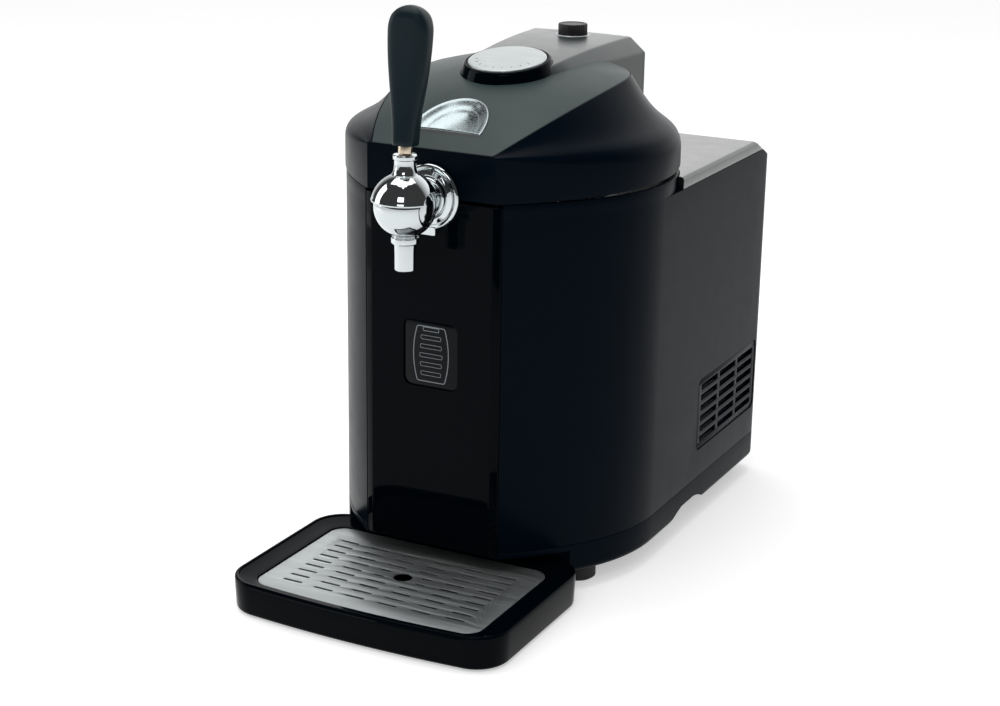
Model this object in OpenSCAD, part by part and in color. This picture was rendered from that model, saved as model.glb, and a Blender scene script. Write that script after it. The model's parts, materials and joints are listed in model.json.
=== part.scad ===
// Mini keg beer dispenser: a cooled cabinet for one 5 litre keg, with a chrome tap on the
// front, a lid hinged at the back and a drip tray that slides out at the foot.
// Millimetres. X to the right, Y to the back, Z up. The origin lies on the table, under
// the middle of the dispenser's box.

/* [Cabinet] */
// Width across the flat sides
body_w = 266; // [260:1:272]
// Distance from the middle to the rear wall
rear_y = 252.5; // [246:0.5:258]
// Radius of the two rear corners, seen from above
rear_corner_r = 22; // [16:1:26]
// Wall of the moulded shells
wall = 2.6; // [2.2:0.1:3.2]
// Height of the front housing's top edge
body_top_z = 316.5; // [314:0.5:317]
// Height of the seam between the cabinet and its base
base_seam_z = 40; // [38:1:42]
// Height of the base's underside over the table
base_z = 15; // [13:1:16]
// Rounding of the base's lower edge
base_round = 6; // [4:1:8]

/* [Front] */
// Distance from the middle to the flat front of the panel
front_y = 131.5; // [130.5:0.5:132.5]
// Half width of the flat front
front_half_w = 51.5; // [48:0.5:53]
// Half width at the back of the panel's bevelled edges
shoulder_half_w = 58.5; // [57:0.5:60]

/* [Lid] */
// Height of the crease between the lid's upright band and its bell
crease_z = 349; // [346:0.5:352]
// Height of the visor's front edge
visor_front_z = 352.5; // [351:0.5:354]
// Height of the visor's rear edge
visor_rear_z = 390; // [386:0.5:392]
// Widest half width of the visor
visor_half_w = 86.2; // [82:0.2:90]
// How far the visor's middle stands over its edges
visor_crown = 11; // [6:0.5:13]
// Height of the spine's flat top at its rear end
spine_z = 406.5; // [404:0.5:409]

/* [Keg] */
// Bore of the keg well
keg_well_r = 90; // [88:0.5:91]
// Height of the keg well's floor
keg_floor_z = 60; // [56:1:64]

/* [Tap] */
// Height of the tap's shank, on the seam of the lid
tap_z = 317.5; // [317:0.5:318]
// Distance from the middle to the tap's upright axis
tap_y = 170; // [168:0.5:172]
// Radius of the ball-shaped tap body
ball_r = 23.2; // [22.6:0.1:23.4]
// Height of the handle's top
handle_top_z = 462; // [455:1:466]

/* [Drip tray] */
// Half width of the tray
tray_half_w = 117.5; // [114:0.5:119]
// Distance from the middle to the tray's front
tray_front_y = 252.5; // [249:0.5:254]
// Height of the tray's rim
tray_rim_z = 27.8; // [27:0.1:28.5]
// Columns of drain slots
slot_cols = 6; // [4:2:6]
// Rows of drain slots
slot_rows = 9; // [7:1:9]

/* [Hidden] */

half_w = body_w / 2;
lid_cy = 3;                     // centre of the lid's round outline
shoulder_y = -128.4;            // where the round shell meets the panel's bevel
recess_y = -122;                // flat face of the shell behind the front panel
tangent_az = 28;                // azimuth at which the front arc leaves the lid's circle
cover_seam_z = 304;             // seam under the rear top cover
cover_top_z = 314;
cover_slope_y = 203;            // where the rear of the cover starts to fall
cover_slope = 27;               // and its fall in degrees
cover_front_y = 40;             // where the cover starts along the sides
cover_gap = 0.4;                // gap between the cover and the round shell
gap = 0.3;

// The front arc starts on the lid's circle and ends at the shoulder.
arc_dx = shoulder_half_w;
arc_dy = shoulder_y - lid_cy;
arc_more = (arc_dx * arc_dx + arc_dy * arc_dy - half_w * half_w)
    / (2 * half_w - 2 * arc_dx * cos(tangent_az) + 2 * arc_dy * sin(tangent_az));
arc_r = half_w + arc_more;
arc_cx = -arc_more * cos(tangent_az);
arc_cy = lid_cy + arc_more * sin(tangent_az);

// Points along an arc about [cx, cy], from angle a to angle b.
function arc(cx, cy, r, a, b, n) =
    [for (i = [0:n]) [cx + r * cos(a + (b - a) * i / n), cy + r * sin(a + (b - a) * i / n)]];

// Right-hand side of the shell's front, inset by t, from its flat at y0 to the side.
function front_side(t, y0, n = 9) = concat(
    arc(arc_cx, arc_cy, arc_r - t, asin((y0 - arc_cy) / (arc_r - t)), -tangent_az, n),
    [for (i = [1:5]) [(half_w - t) * cos(tangent_az * (1 - i / 5)),
                      lid_cy - (half_w - t) * sin(tangent_az * (1 - i / 5))]]);
// The same side carried on to the middle of the rear wall, or round the lid's circle.
function box_side(t, y0) = concat(front_side(t, y0),
    arc(half_w - rear_corner_r, rear_y - rear_corner_r, rear_corner_r - t, 0, 90, 6));
function round_side(t, y0) = concat(front_side(t, y0), arc(0, lid_cy, half_w - t, 4, 88, 18));
function both(pts) = concat(pts, [for (i = [len(pts) - 1:-1:0]) [-pts[i][0], pts[i][1]]]);

module box_outline(t = 0, y0 = shoulder_y) {
    polygon(both(box_side(t, y0)));
}
module round_outline(t = 0, y0 = shoulder_y) {
    polygon(both(round_side(t, y0)));
}
module slab(z0, z1) {
    translate([0, 0, z0]) linear_extrude(z1 - z0) children();
}
// Box between two corners.
module block(a, b) {
    translate(a) cube([b[0] - a[0], b[1] - a[1], b[2] - a[2]]);
}
// Cylinders along Y and X, from a to b.
module rod_y(x, z, r, a, b, fn = 48) {
    translate([x, a, z]) rotate([-90, 0, 0]) cylinder(r = r, h = b - a, $fn = fn);
}
module rod_x(y, z, r, a, b, fn = 48) {
    translate([a, y, z]) rotate([0, 90, 0]) cylinder(r = r, h = b - a, $fn = fn);
}
module rod_z(x, y, r, a, b, fn = 48) {
    translate([x, y, a]) cylinder(r = r, h = b - a, $fn = fn);
}
// Rounded rectangle, centred.
module round_rect(w, h, r) {
    polygon(concat(arc(w / 2 - r, h / 2 - r, r, 0, 90, 5), arc(r - w / 2, h / 2 - r, r, 90, 180, 5),
        arc(r - w / 2, r - h / 2, r, 180, 270, 5), arc(w / 2 - r, r - h / 2, r, 270, 360, 5)));
}
// Skin over a stack of rings with equal counts of points, closed at both ends.
module loft(rings) {
    n = len(rings[0]);
    m = len(rings);
    polyhedron(points = [for (r = rings) each r], faces = concat(
        [[for (i = [0:n - 1]) i]],
        [for (j = [0:m - 2], i = [0:n - 1])
            [j * n + i, (j + 1) * n + i, (j + 1) * n + (i + 1) % n, j * n + (i + 1) % n]],
        [[for (i = [n - 1:-1:0]) (m - 1) * n + i]]), convexity = 6);
}
function at_z(pts, z) = [for (p = pts) [p[0], p[1], z]];
// Skin over a stack of rings that closes on itself, so that it bounds a wall round a hole.
module loop_loft(rings) {
    n = len(rings[0]);
    m = len(rings);
    polyhedron(points = [for (r = rings) each r], faces =
        [for (j = [0:m - 1], i = [0:n - 1]) let (k = (j + 1) % m)
            [j * n + i, k * n + i, k * n + (i + 1) % n, j * n + (i + 1) % n]], convexity = 6);
}
// One moulded skin: its cuts follow its own facets.
module moulding() {
    resize([0, 0, 0]) children();
}
module rect(x0, y0, x1, y1) {
    translate([x0, y0]) square([x1 - x0, y1 - y0]);
}

// ---------------------------------------------------------------- cabinet

vent_y0 = 94;
vent_y1 = 232;
vent_z0 = 65;
vent_z1 = 129;
rear_win_half = 92;
rear_win_z0 = 58;
rear_win_z1 = 196;
window_z = 193;
window_w = 47;
window_h = 53;

// What lies over the sloping rear edge of the cover, lowered by down.
module rear_slope_cut(down = 0) {
    translate([-200, cover_slope_y, cover_top_z - down]) rotate([-cover_slope, 0, 0])
        cube([400, 120, 80]);
}
module body_shell() {
    color([0.075, 0.085, 0.1]) difference() {
        union() {
            slab(base_seam_z, cover_seam_z) box_outline();
            slab(cover_seam_z - 4, body_top_z) round_outline();
        }
        difference() {
            union() {
                slab(base_seam_z - 1, cover_seam_z - 4) box_outline(wall, recess_y + wall);
                slab(cover_seam_z - 4.01, cover_seam_z + 1) difference() {
                    box_outline(wall, recess_y + wall);
                    round_outline(0, shoulder_y);
                }
            }
            rear_slope_cut(wall / cos(cover_slope));
        }
        slab(cover_seam_z - 4.01, body_top_z + 1) round_outline(wall, recess_y + wall);
        block([-shoulder_half_w, -150, 0], [shoulder_half_w, recess_y, 400]);
        rear_slope_cut();
        rod_y(0, tap_z, 11.8, -140, -100);
        // Side vents, rear grille, lamp and inlet openings
        for (s = [-1, 1]) block([s * half_w - 6, vent_y0 + 3, vent_z0 + 3],
            [s * half_w + 6, vent_y1 - 3, vent_z1 - 3]);
        block([-rear_win_half + 3, rear_y - 6, rear_win_z0 + 3],
            [rear_win_half - 3, rear_y + 6, rear_win_z1 - 3]);
        block([-16, -130, window_z - 18], [-8, -110, window_z + 4]);
        block([-87.1, rear_y - 6, 221.9], [-52.9, rear_y + 6, 251.1]);
    }
}

bay_half_w = 101;               // the bay in the base that takes the drip tray
bay_back_y = -84;
bay_top_z = 35;
arch_mid_y = 81.6;              // hand recess in each side of the base
arch_half = 41;
arch_rise = 11;
skirt_wall = 12;

module base_skirt() {
    arch_r = (arch_half * arch_half + arch_rise * arch_rise) / (2 * arch_rise);
    color([0.07, 0.08, 0.09]) difference() {
        loft(concat(
            [for (i = [0:3]) at_z(both(box_side(base_round * (1 - sin(i * 30)), shoulder_y
                + base_round * (1 - sin(i * 30)))), base_z + base_round * (1 - cos(i * 30)))],
            [at_z(both(box_side(0, shoulder_y)), base_seam_z - 0.8),
             at_z(both(box_side(0.6, shoulder_y + 0.6)), base_seam_z)]));
        slab(base_z + wall, base_seam_z + 1) difference() {
            box_outline(skirt_wall, shoulder_y + 8);
            rect(-bay_half_w - wall, -200, bay_half_w + wall, bay_back_y + wall);
        }
        // Lip of the front panel
        block([-shoulder_half_w, -200, panel_z0 - 0.2], [shoulder_half_w, recess_y, base_seam_z + 1]);
        // Bay for the drip tray, with slots for its two tongues
        block([-bay_half_w, -200, 0], [bay_half_w, bay_back_y, bay_top_z]);
        for (s = [-1, 1]) block([s * 70 - 14, bay_back_y - 1, base_z + wall],
            [s * 70 + 14, bay_back_y + wall + 1, base_z + wall + 5.6]);
        // Hand recesses
        for (s = [-1, 1]) translate([s * (half_w - 9) + (s < 0 ? -20 : 0), arch_mid_y,
            base_z + arch_rise - arch_r]) rotate([0, 90, 0])
            cylinder(r = arch_r, h = 20, $fn = 120);
        for (p = foot_places) rod_z(p[0], p[1], 10.3, 0, base_z + 1.5);
    }
}
foot_places = [[-92, -52], [92, -52], [-92, 214], [92, 214]];
module feet() {
    color([0.04, 0.04, 0.04]) for (p = foot_places) {
        translate([p[0], p[1], 0]) rotate_extrude($fn = 48)
            polygon([[0, 0], [13, 0], [15, 1.5], [15, base_z], [10, base_z], [10, base_z + 1.2], [0, base_z + 1.2]]);
    }
}
panel_z0 = 36.5;
panel_z1 = 314.4;
module front_panel() {
    color([0.012, 0.014, 0.018]) difference() {
        slab(panel_z0, panel_z1) polygon([[-front_half_w, -front_y], [front_half_w, -front_y],
            [shoulder_half_w - gap, shoulder_y], [shoulder_half_w - gap, recess_y],
            [gap - shoulder_half_w, recess_y], [gap - shoulder_half_w, shoulder_y]]);
        rod_y(0, tap_z, 11.8, -150, -100);
        translate([0, -front_y - 1, window_z]) rotate([-90, 0, 0])
            linear_extrude(4.2) round_rect(window_w, window_h, 5);
        block([-18, -130, window_z - 20], [18, -110, window_z + 20]);
        // Shallow hollow back
        block([-shoulder_half_w + 4, recess_y - 4.2, panel_z0 + 3],
            [shoulder_half_w - 4, recess_y, window_z - window_h / 2 - 5]);
    }
}
module display_window() {
    color([0.03, 0.03, 0.035]) difference() {
        translate([0, -front_y + 1.2, window_z]) rotate([-90, 0, 0])
            linear_extrude(2) round_rect(window_w - 0.4, window_h - 0.4, 4.8);
        // Barrel-shaped outline and its slats, as shallow grooves
        translate([0, -front_y + 1.2, window_z]) rotate([-90, 0, 0])
            linear_extrude(0.5, center = true) difference() {
                barrel(15.4, 22);
                barrel(14.2, 20.8);
            }
        for (i = [-2:2]) translate([0, -front_y + 1.2, window_z - 1 + i * 7]) rotate([-90, 0, 0])
            linear_extrude(0.5, center = true) round_rect(21, 2.4, 1);
    }
}
// Outline of a small cask: straight ends, bulging sides.
module barrel(w, h) {
    polygon(concat([for (i = [-6:6]) [w - 2.2 * pow(i / 6, 2), h * i / 6]],
        [for (i = [6:-1:-6]) [2.2 * pow(i / 6, 2) - w, h * i / 6]]));
}
module display_lamp_board() {
    color([0.05, 0.25, 0.12]) difference() {
        union() {
            block([-17, recess_y - 1.7, window_z - 19], [17, recess_y, window_z + 19]);
            for (i = [-2:2]) block([-3, recess_y - 3.4, window_z - 2.5 + i * 7],
                [3, recess_y - 1.7, window_z + 0.5 + i * 7]);
            block([-15, recess_y - 0.1, window_z - 17], [-9, recess_y + 3, window_z + 3]);
        }
        for (s = [-1, 1]) rod_y(s * 13, window_z + 15, 1.6, -140, -100);
    }
}
module rear_top_cover() {
    color([0.085, 0.095, 0.105]) difference() {
        loft([at_z(both(box_side(0.6, shoulder_y)), cover_seam_z),
            at_z(both(box_side(0, shoulder_y)), cover_seam_z + 0.8),
            at_z(both(box_side(0, shoulder_y)), cover_seam_z + 6),
            at_z(both(box_side(1, shoulder_y)), cover_top_z - 1.5),
            at_z(both(box_side(2.5, shoulder_y)), cover_top_z)]);
        slab(cover_seam_z - 1, cover_top_z + 1) {
            rect(-150, -150, 150, cover_front_y);
            round_outline(-cover_gap);
        }
        slab(cover_seam_z - 1, cover_top_z - wall) difference() {
            box_outline(wall, shoulder_y);
            round_outline(-cover_gap - wall);
            rect(-150, cover_slope_y - 6, 150, 300);
        }
        rear_slope_cut();
    }
}
// Panel with rows of slots; w along the first axis, h along the second.
module slot_panel(w, h, t, cols, rows, slot_w, slot_h) {
    difference() {
        linear_extrude(t) difference() {
            round_rect(w, h, 5);
            for (c = [0:cols - 1], r = [0:rows - 1])
                translate([(c - (cols - 1) / 2) * (w - 8) / cols, (r - (rows - 1) / 2) * (h - 6) / rows])
                    square([slot_w, slot_h], center = true);
        }
    }
}
module side_vent(s) {
    w = vent_y1 - vent_y0;
    h = vent_z1 - vent_z0;
    // Recessed panel that fills the opening from inside
    difference() {
        translate([s * (half_w - wall - 2), (vent_y0 + vent_y1) / 2, (vent_z0 + vent_z1) / 2])
            rotate([90, 0, s * 90])
                slot_panel(w, h, 2, 3, 6, 38, 5.4);
    }
}
module side_vent_left() {
    color([0.075, 0.085, 0.1]) side_vent(-1);
}
module side_vent_right() {
    color([0.075, 0.085, 0.1]) side_vent(1);
}
module rear_grille() {
    color([0.07, 0.08, 0.09]) translate([0, rear_y - wall, (rear_win_z0 + rear_win_z1) / 2])
        rotate([90, 0, 0]) slot_panel(2 * rear_win_half, rear_win_z1 - rear_win_z0, 2, 4, 11, 40, 6.5);
}
module top_deck() {
    color([0.08, 0.085, 0.09]) difference() {
        union() {
            slab(deck_z - 2.6, deck_z) round_outline(wall, recess_y + wall);
            rod_z(0, keg_cy, keg_well_r + 9, deck_z, liner_lip_z, 96);
        }
        rod_z(0, keg_cy, keg_well_r + 3.2, deck_z - 5, liner_lip_z + 5, 96);
    }
}

// ---------------------------------------------------------------- cooling

keg_cy = -8;
liner_t = 1.5;
foam_r = 111;
liner_top_z = 304.5;
liner_lip_z = liner_top_z - 1.4; // underside of the liner's lip, which the deck carries
deck_z = 298.6;                 // top of the deck round the well
module keg_liner() {
    color([0.8, 0.81, 0.82]) translate([0, keg_cy, 0]) rotate_extrude($fn = 96)
        polygon([[0, keg_floor_z - liner_t], [keg_well_r - 4, keg_floor_z - liner_t],
            [keg_well_r + liner_t, keg_floor_z + 4], [keg_well_r + liner_t, liner_lip_z],
            [keg_well_r + 8, liner_lip_z], [keg_well_r + 8, liner_top_z], [keg_well_r, liner_top_z],
            [keg_well_r, keg_floor_z + 5], [keg_well_r - 5, keg_floor_z], [0, keg_floor_z]]);
}
module liner_insulation() {
    color([0.86, 0.86, 0.82]) difference() {
        rod_z(0, keg_cy, foam_r, base_seam_z + 1, deck_z - 2.6, 96);
        rod_z(0, keg_cy, keg_well_r + liner_t, keg_floor_z - liner_t, 300, 96);
        block([-36, 60, 66], [36, 120, 144]);
    }
}
block_mid_z = 105;
module cold_block() {
    color([0.78, 0.79, 0.8]) difference() {
        block([-34, 66, block_mid_z - 36], [34, 104, block_mid_z + 36]);
        rod_z(0, keg_cy, keg_well_r + liner_t, 50, 170, 96);
    }
}
module peltier_module() {
    color([0.92, 0.92, 0.9]) block([-20, 104, block_mid_z - 20], [20, sink_y0, block_mid_z + 20]);
}
sink_y0 = 108;
module heat_sink() {
    fins = 15;
    color([0.62, 0.63, 0.65]) union() {
        block([-48, sink_y0, block_mid_z - 48], [48, sink_y0 + 6, block_mid_z + 48]);
        for (i = [0:fins - 1]) translate([-48 + i * (96 - 1.8) / (fins - 1), sink_y0 + 5.9, block_mid_z - 48])
            cube([1.8, 34.1, 96]);
    }
}
fan_y0 = sink_y0 + 40;
fan_r = 44;
module fan_frame() {
    color([0.1, 0.1, 0.1]) difference() {
        union() {
            difference() {
                translate([0, fan_y0 + 25, block_mid_z]) rotate([90, 0, 0]) linear_extrude(25) round_rect(92, 92, 4);
                rod_y(0, block_mid_z, fan_r, fan_y0 - 1, fan_y0 + 30, 72);
            }
            for (a = [45, 135]) translate([0, fan_y0 + 23, block_mid_z]) rotate([0, a, 0])
                cube([2 * fan_r + 8, 4, 6], center = true);
            rod_y(0, block_mid_z, 17, fan_y0 + 20.6, fan_y0 + 25);
        }
        rod_y(0, block_mid_z, 3.05, fan_y0, fan_y0 + 30);
        for (x = [-41, 41], z = [-41, 41]) rod_y(x, block_mid_z + z, 2.2, fan_y0 - 1, fan_y0 + 30);
    }
}
module fan_rotor() {
    color([0.13, 0.13, 0.13]) {
        rod_y(0, block_mid_z, 17, fan_y0 + 2, fan_y0 + 20.4);
        rod_y(0, block_mid_z, 3, fan_y0 + 20, fan_y0 + 24);
        for (a = [0:7]) translate([0, fan_y0 + 11, block_mid_z]) rotate([0, a * 45, 0])
            translate([15, 0, 0]) rotate([38, 0, 0]) translate([0, -1, -9]) cube([27, 2, 18]);
    }
}
supply_x = 12;
supply_y = 196;
module power_supply() {
    color([0.7, 0.71, 0.72]) difference() {
        block([supply_x - 60, supply_y, 206], [supply_x + 60, rear_y - wall, 282]);
        for (i = [-3:3], z = [222:12:270]) translate([supply_x - 4.5 + i * 14, supply_y - 1, z]) cube([9, 4, 5]);
    }
}
module control_board() {
    board_y = supply_y - 8;
    color([0.05, 0.25, 0.12]) translate([supply_x, 0, 0]) {
        block([-55, board_y, 208], [55, board_y + 1.6, 280]);
        for (x = [-50, 50], z = [213, 275]) rod_y(x, z, 3, board_y + 1.5, supply_y, 24);
        for (i = [0:2]) rod_y(-36 + i * 20, 264, 6, board_y - 15, board_y + 0.1, 32);
        block([8, board_y - 12, 224], [34, board_y, 252]);
        block([-44, board_y - 5, 222], [-20, board_y, 240]);
    }
}
module power_inlet() {
    color([0.05, 0.05, 0.05]) difference() {
        union() {
            block([-87, rear_y - wall, 222], [-53, rear_y, 251]);
            block([-89, rear_y - wall - 1.6, 220], [-51, rear_y - wall, 253]);
            block([-83.2, rear_y - 20, 226.8], [-56.8, rear_y - wall, 246.2]);
        }
        block([-81.5, rear_y - 14, 228.5], [-58.5, rear_y + 3, 244.5]);
    }
    color([0.8, 0.7, 0.4]) for (i = [-1:1]) block([-71 + i * 7, rear_y - 15, 234], [-69 + i * 7, rear_y - 2, 239]);
}

// ---------------------------------------------------------------- tap

flange_r = 25;
shank_r = 11;
nut_y = recess_y + wall + 2.6;  // back of the bracket, where the nut bears
module tap_bracket() {
    color([0.7, 0.7, 0.7]) difference() {
        union() {
            block([-21, recess_y + wall, deck_z], [21, nut_y, 333]);
            block([-21, recess_y + wall, deck_z], [21, -107, deck_z + 2.4]);
        }
        rod_y(0, tap_z, shank_r + 0.05, -130, -100);
    }
}
flange_gap = 0.6;               // the lid's front swings up behind the flange
module tap_flange() {
    color([0.85, 0.86, 0.87]) {
        translate([0, -front_y - flange_gap, tap_z]) rotate([90, 0, 0]) rotate_extrude($fn = 72)
            polygon([[shank_r + 0.05, 0], [flange_r, 0], [flange_r, 2.6], [flange_r - 1.8, 4.4],
                [flange_r - 5, 4.8], [15.6, 5.8], [14, 8], [shank_r + 0.05, 8]]);
        // Foot that rests on the panel below the seam, and the screw lug
        block([-13, -front_y - flange_gap - 0.1, tap_z - 20], [13, -front_y, tap_z - 12.6]);
        block([-6, -front_y - 4.6, tap_z - 28.5], [6, -front_y, tap_z - 22.6]);
    }
}
module tap_shank() {
    color([0.75, 0.76, 0.77]) difference() {
        rod_y(0, tap_z, shank_r, -tap_y + ball_r - 4, -96, 72);
        rod_y(0, tap_z, 5, -tap_y, -90);
        translate([0, -tap_y, tap_z]) sphere(r = ball_r, $fn = 96);
    }
}
module shank_nut() {
    color([0.72, 0.6, 0.3]) difference() {
        translate([0, nut_y, tap_z]) rotate([-90, 0, 0]) cylinder(r = 17, h = 8, $fn = 6);
        rod_y(0, tap_z, shank_r, -130, -90);
    }
}
facet_x = 18.4;                 // the ball is cut flat on both sides
cap_depth = 1.6;
lever_slot = 3.4;
module tap_body() {
    color([0.85, 0.86, 0.87]) difference() {
        translate([0, -tap_y, tap_z]) sphere(r = ball_r, $fn = 96);
        for (s = [-1, 1]) {
            block([s > 0 ? facet_x : -40, -tap_y - 30, tap_z - 30], [s > 0 ? 40 : -facet_x, -tap_y + 30, tap_z + 30]);
            translate([s * (facet_x - cap_depth), -tap_y, tap_z]) rotate([0, s * 90, 0])
                cylinder(r = 11, h = 5, $fn = 72);
        }
        // Chamber, slot for the lever's tongue, bore to the shank and spout passage
        block([-6, -tap_y - 14, tap_z - 13], [6, -tap_y + 15, tap_z + 4]);
        block([-lever_slot, -tap_y - 17, tap_z], [lever_slot, -tap_y + 6, tap_z + 30]);
        rod_y(0, tap_z, 5, -tap_y, -tap_y + 30);
        rod_z(0, -tap_y, 6.2, tap_z - 30, tap_z);
        rod_x(-tap_y, tap_z, pivot_r, cap_depth - facet_x, facet_x - cap_depth);
    }
}
module tap_side_caps() {
    color([0.82, 0.83, 0.84]) for (s = [-1, 1]) translate([s * (facet_x - cap_depth), -tap_y, tap_z])
        rotate([0, s * 90, 0]) rotate_extrude($fn = 72)
            polygon([[0, 0], [10.9, 0], [10.9, 1.4], [10.2, 2], [0, 2.4]]);
}
pivot_r = 2.5;
module tap_pivot_pin() {
    color([0.7, 0.7, 0.7]) rod_x(-tap_y, tap_z, pivot_r, cap_depth - facet_x, facet_x - cap_depth);
}
nozzle_z = 269.5;
module nozzle_collar() {
    color([0.85, 0.86, 0.87]) difference() {
        translate([0, -tap_y, 0]) rotate_extrude($fn = 72)
            polygon([[6.2, 289.5], [9, 289.5], [10.2, 291], [10.2, 293.6], [9.2, 294.6], [10.4, 297],
                [11.4, 303], [6.2, 303]]);
        translate([0, -tap_y, tap_z]) sphere(r = ball_r, $fn = 96);
    }
}
module nozzle() {
    color([0.85, 0.86, 0.87]) translate([0, -tap_y, 0]) rotate_extrude($fn = 72)
        polygon([[5.4, nozzle_z], [7.3, nozzle_z], [7.7, nozzle_z + 1], [7.7, 289.5], [5.4, 289.5]]);
}
// Rod that opens the valve: the lever's tail moves it along the shank's bore.
module valve_shaft() {
    color([0.75, 0.75, 0.76]) difference() {
        union() {
            block([-4, -tap_y - 7.2, tap_z - 12], [4, -tap_y + 7.2, tap_z - 6.4]);
            block([-2.1, -tap_y + 5.7, tap_z - 12], [2.1, -tap_y + 7.2, tap_z + 2.2]);
            rod_y(0, tap_z, 2.2, -tap_y + 6, -tap_y + 38);
        }
        block([-2.4, -tap_y - 4.7, tap_z - 13], [2.4, -tap_y + 4.7, tap_z]);
    }
}
module valve_seal() {
    color([0.1, 0.1, 0.1]) difference() {
        rod_y(0, tap_z, 4.7, -tap_y + 32, -tap_y + 36);
        rod_y(0, tap_z, 2.2, -tap_y + 20, -tap_y + 40);
    }
}
dome_rim_z = 321.6;
dome_r = 25;
module lever_dome() {
    color([0.85, 0.86, 0.87]) difference() {
        union() {
            difference() {
                translate([0, -tap_y, 0]) rotate_extrude($fn = 96)
                    polygon(concat([[0, dome_rim_z], [dome_r, dome_rim_z]],
                        [for (a = [12:12:60]) [26.4 * cos(a) - 0.6, tap_z + 26.4 * sin(a)]],
                        [[9.6, 342.6], [8.3, 345], [7.6, 348], [7.8, 351.6], [8.9, 352.4],
                         [8.9, 354.8], [8, 356], [0, 356]]));
                translate([0, -tap_y, tap_z]) sphere(r = ball_r + 0.4, $fn = 96);
                // Clear of the shank at the back
                rod_y(0, tap_z, shank_r + 0.6, -tap_y, -tap_y + 40, 72);
                // Hollow over the side faces of the ball
                for (s = [-1, 1]) rod_x(-tap_y, tap_z, 12.5, s > 0 ? 16 : -40, s > 0 ? 40 : -16, 72);
            }
            block([-3, -tap_y - 3.4, tap_z - 3], [3, -tap_y + 3.4, tap_z + 26]);
            rod_x(-tap_y, tap_z, 5.2, -3, 3);
            block([-1.8, -tap_y - 2.2, tap_z - 10], [1.8, -tap_y + 2.2, tap_z]);
        }
        rod_x(-tap_y, tap_z, pivot_r + 0.05, -10, 10);
        rod_z(0, -tap_y, 3, 342, 360);
    }
}
lean = 5;                       // the handle leans back by this angle
module leaning() {
    translate([0, -tap_y, 356]) rotate([-lean, 0, 0]) children();
}
module handle_stud() {
    color([0.7, 0.62, 0.45]) {
        rod_z(0, -tap_y, 3, 346, 357);
        leaning() rod_z(0, 0, 5.8, 0.7, 6.2, 32);
        leaning() rod_z(0, 0, 3, 6, 18, 32);
    }
}
handle_h = handle_top_z - 362;
// Half width and half depth of the handle at a height from 0 to 1.
function grip_w(f) = 8.4 + 8.2 * pow(sin(min(f, 0.78) / 0.78 * 90), 1.6);
function grip_d(f) = 9.6 - 2.4 * sin(f * 180) + 1.2 * f;
function grip_cap(f, f0) = f < f0 ? 1 : sqrt(max(0.0004, 1 - pow((f - f0) / (1 - f0), 2)));
function grip_ring(f) = let (z = 6.4 + handle_h * f, c = grip_cap(f, 0.80),
    b = f < 0.04 ? 0.90 + 0.1 * f / 0.04 : 1, w = grip_w(f) * c * b, d = grip_d(f) * min(1, c * 1.25) * b)
    [for (i = [0:23]) let (a = i * 15) [
        w * sign(cos(a)) * pow(abs(cos(a)), 0.6), d * sign(sin(a)) * pow(abs(sin(a)), 0.6), z]];
module handle() {
    color([0.05, 0.055, 0.06]) difference() {
        leaning() loft([for (f = [0, 0.02, 0.04, 0.1, 0.18, 0.26, 0.34, 0.42, 0.5, 0.58, 0.66, 0.73,
            0.8, 0.86, 0.91, 0.95, 0.98, 0.995]) grip_ring(f)]);
        leaning() rod_z(0, 0, 3.05, 0, 18.3, 32);
    }
}
module beer_line() {
    color([0.85, 0.85, 0.8]) difference() {
        union() {
            rod_y(0, tap_z, 5, -110, keg_cy - 13, 48);
            rod_y(0, tap_z, 7, -96, -88, 48);
        }
        rod_y(0, tap_z, 3, -111, keg_cy - 10, 32);
    }
}
module keg_coupler() {
    color([0.1, 0.1, 0.1]) difference() {
        union() {
            rod_z(0, keg_cy, 22, 310.5, 313.5);
            rod_z(0, keg_cy, 14, 313.4, 324);
        }
        rod_y(0, tap_z, 5, keg_cy - 23, keg_cy);
    }
}

// ---------------------------------------------------------------- lid

hinge_y = 143;
hinge_z = 325;
lid_front_gap_z = 317;          // the lid's lower edge at the front
lid_edge_tilt = 0.024;          // its rise per unit of Y towards the hinge
band_tilt = -0.022;
visor_back_y = 89;
visor_arc_r = 314;
visor_wide_y = 12;

function seam_z(y) = lid_front_gap_z + lid_edge_tilt * (y + front_y);
function band_z(y) = crease_z + band_tilt * y;
// Half width of the visor at y: an arc in front, a superellipse behind.
function visor_w(y) = y < visor_wide_y
    ? visor_half_w - visor_arc_r + sqrt(visor_arc_r * visor_arc_r - pow(y - visor_wide_y, 2))
    : visor_half_w * pow(max(0, 1 - pow((y - visor_wide_y) / (visor_back_y - visor_wide_y), 2.5)), 0.4);
function visor_t(y) = (visor_back_y - y) / (visor_back_y + front_y);
function visor_edge_z(y) = visor_rear_z - (visor_rear_z - visor_front_z) * pow(visor_t(y), 2.6);
function visor_z(x, y) = let (w = max(1, visor_w(y)))
    visor_edge_z(y) + visor_crown * (1 - pow(visor_t(y), 3)) * (1 - pow(min(1, abs(x) / w), 2));

// Stations along the visor's right edge, from the front corner to the middle of the back.
edge_ys = concat([for (i = [0:11]) -front_y + (visor_wide_y + front_y) * i / 11],
    [for (i = [1:8]) visor_wide_y + (visor_back_y - visor_wide_y) * sin(i * 11.25)]);
lid_over = 0.8;                 // the lid stands out over the cabinet by this much
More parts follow.
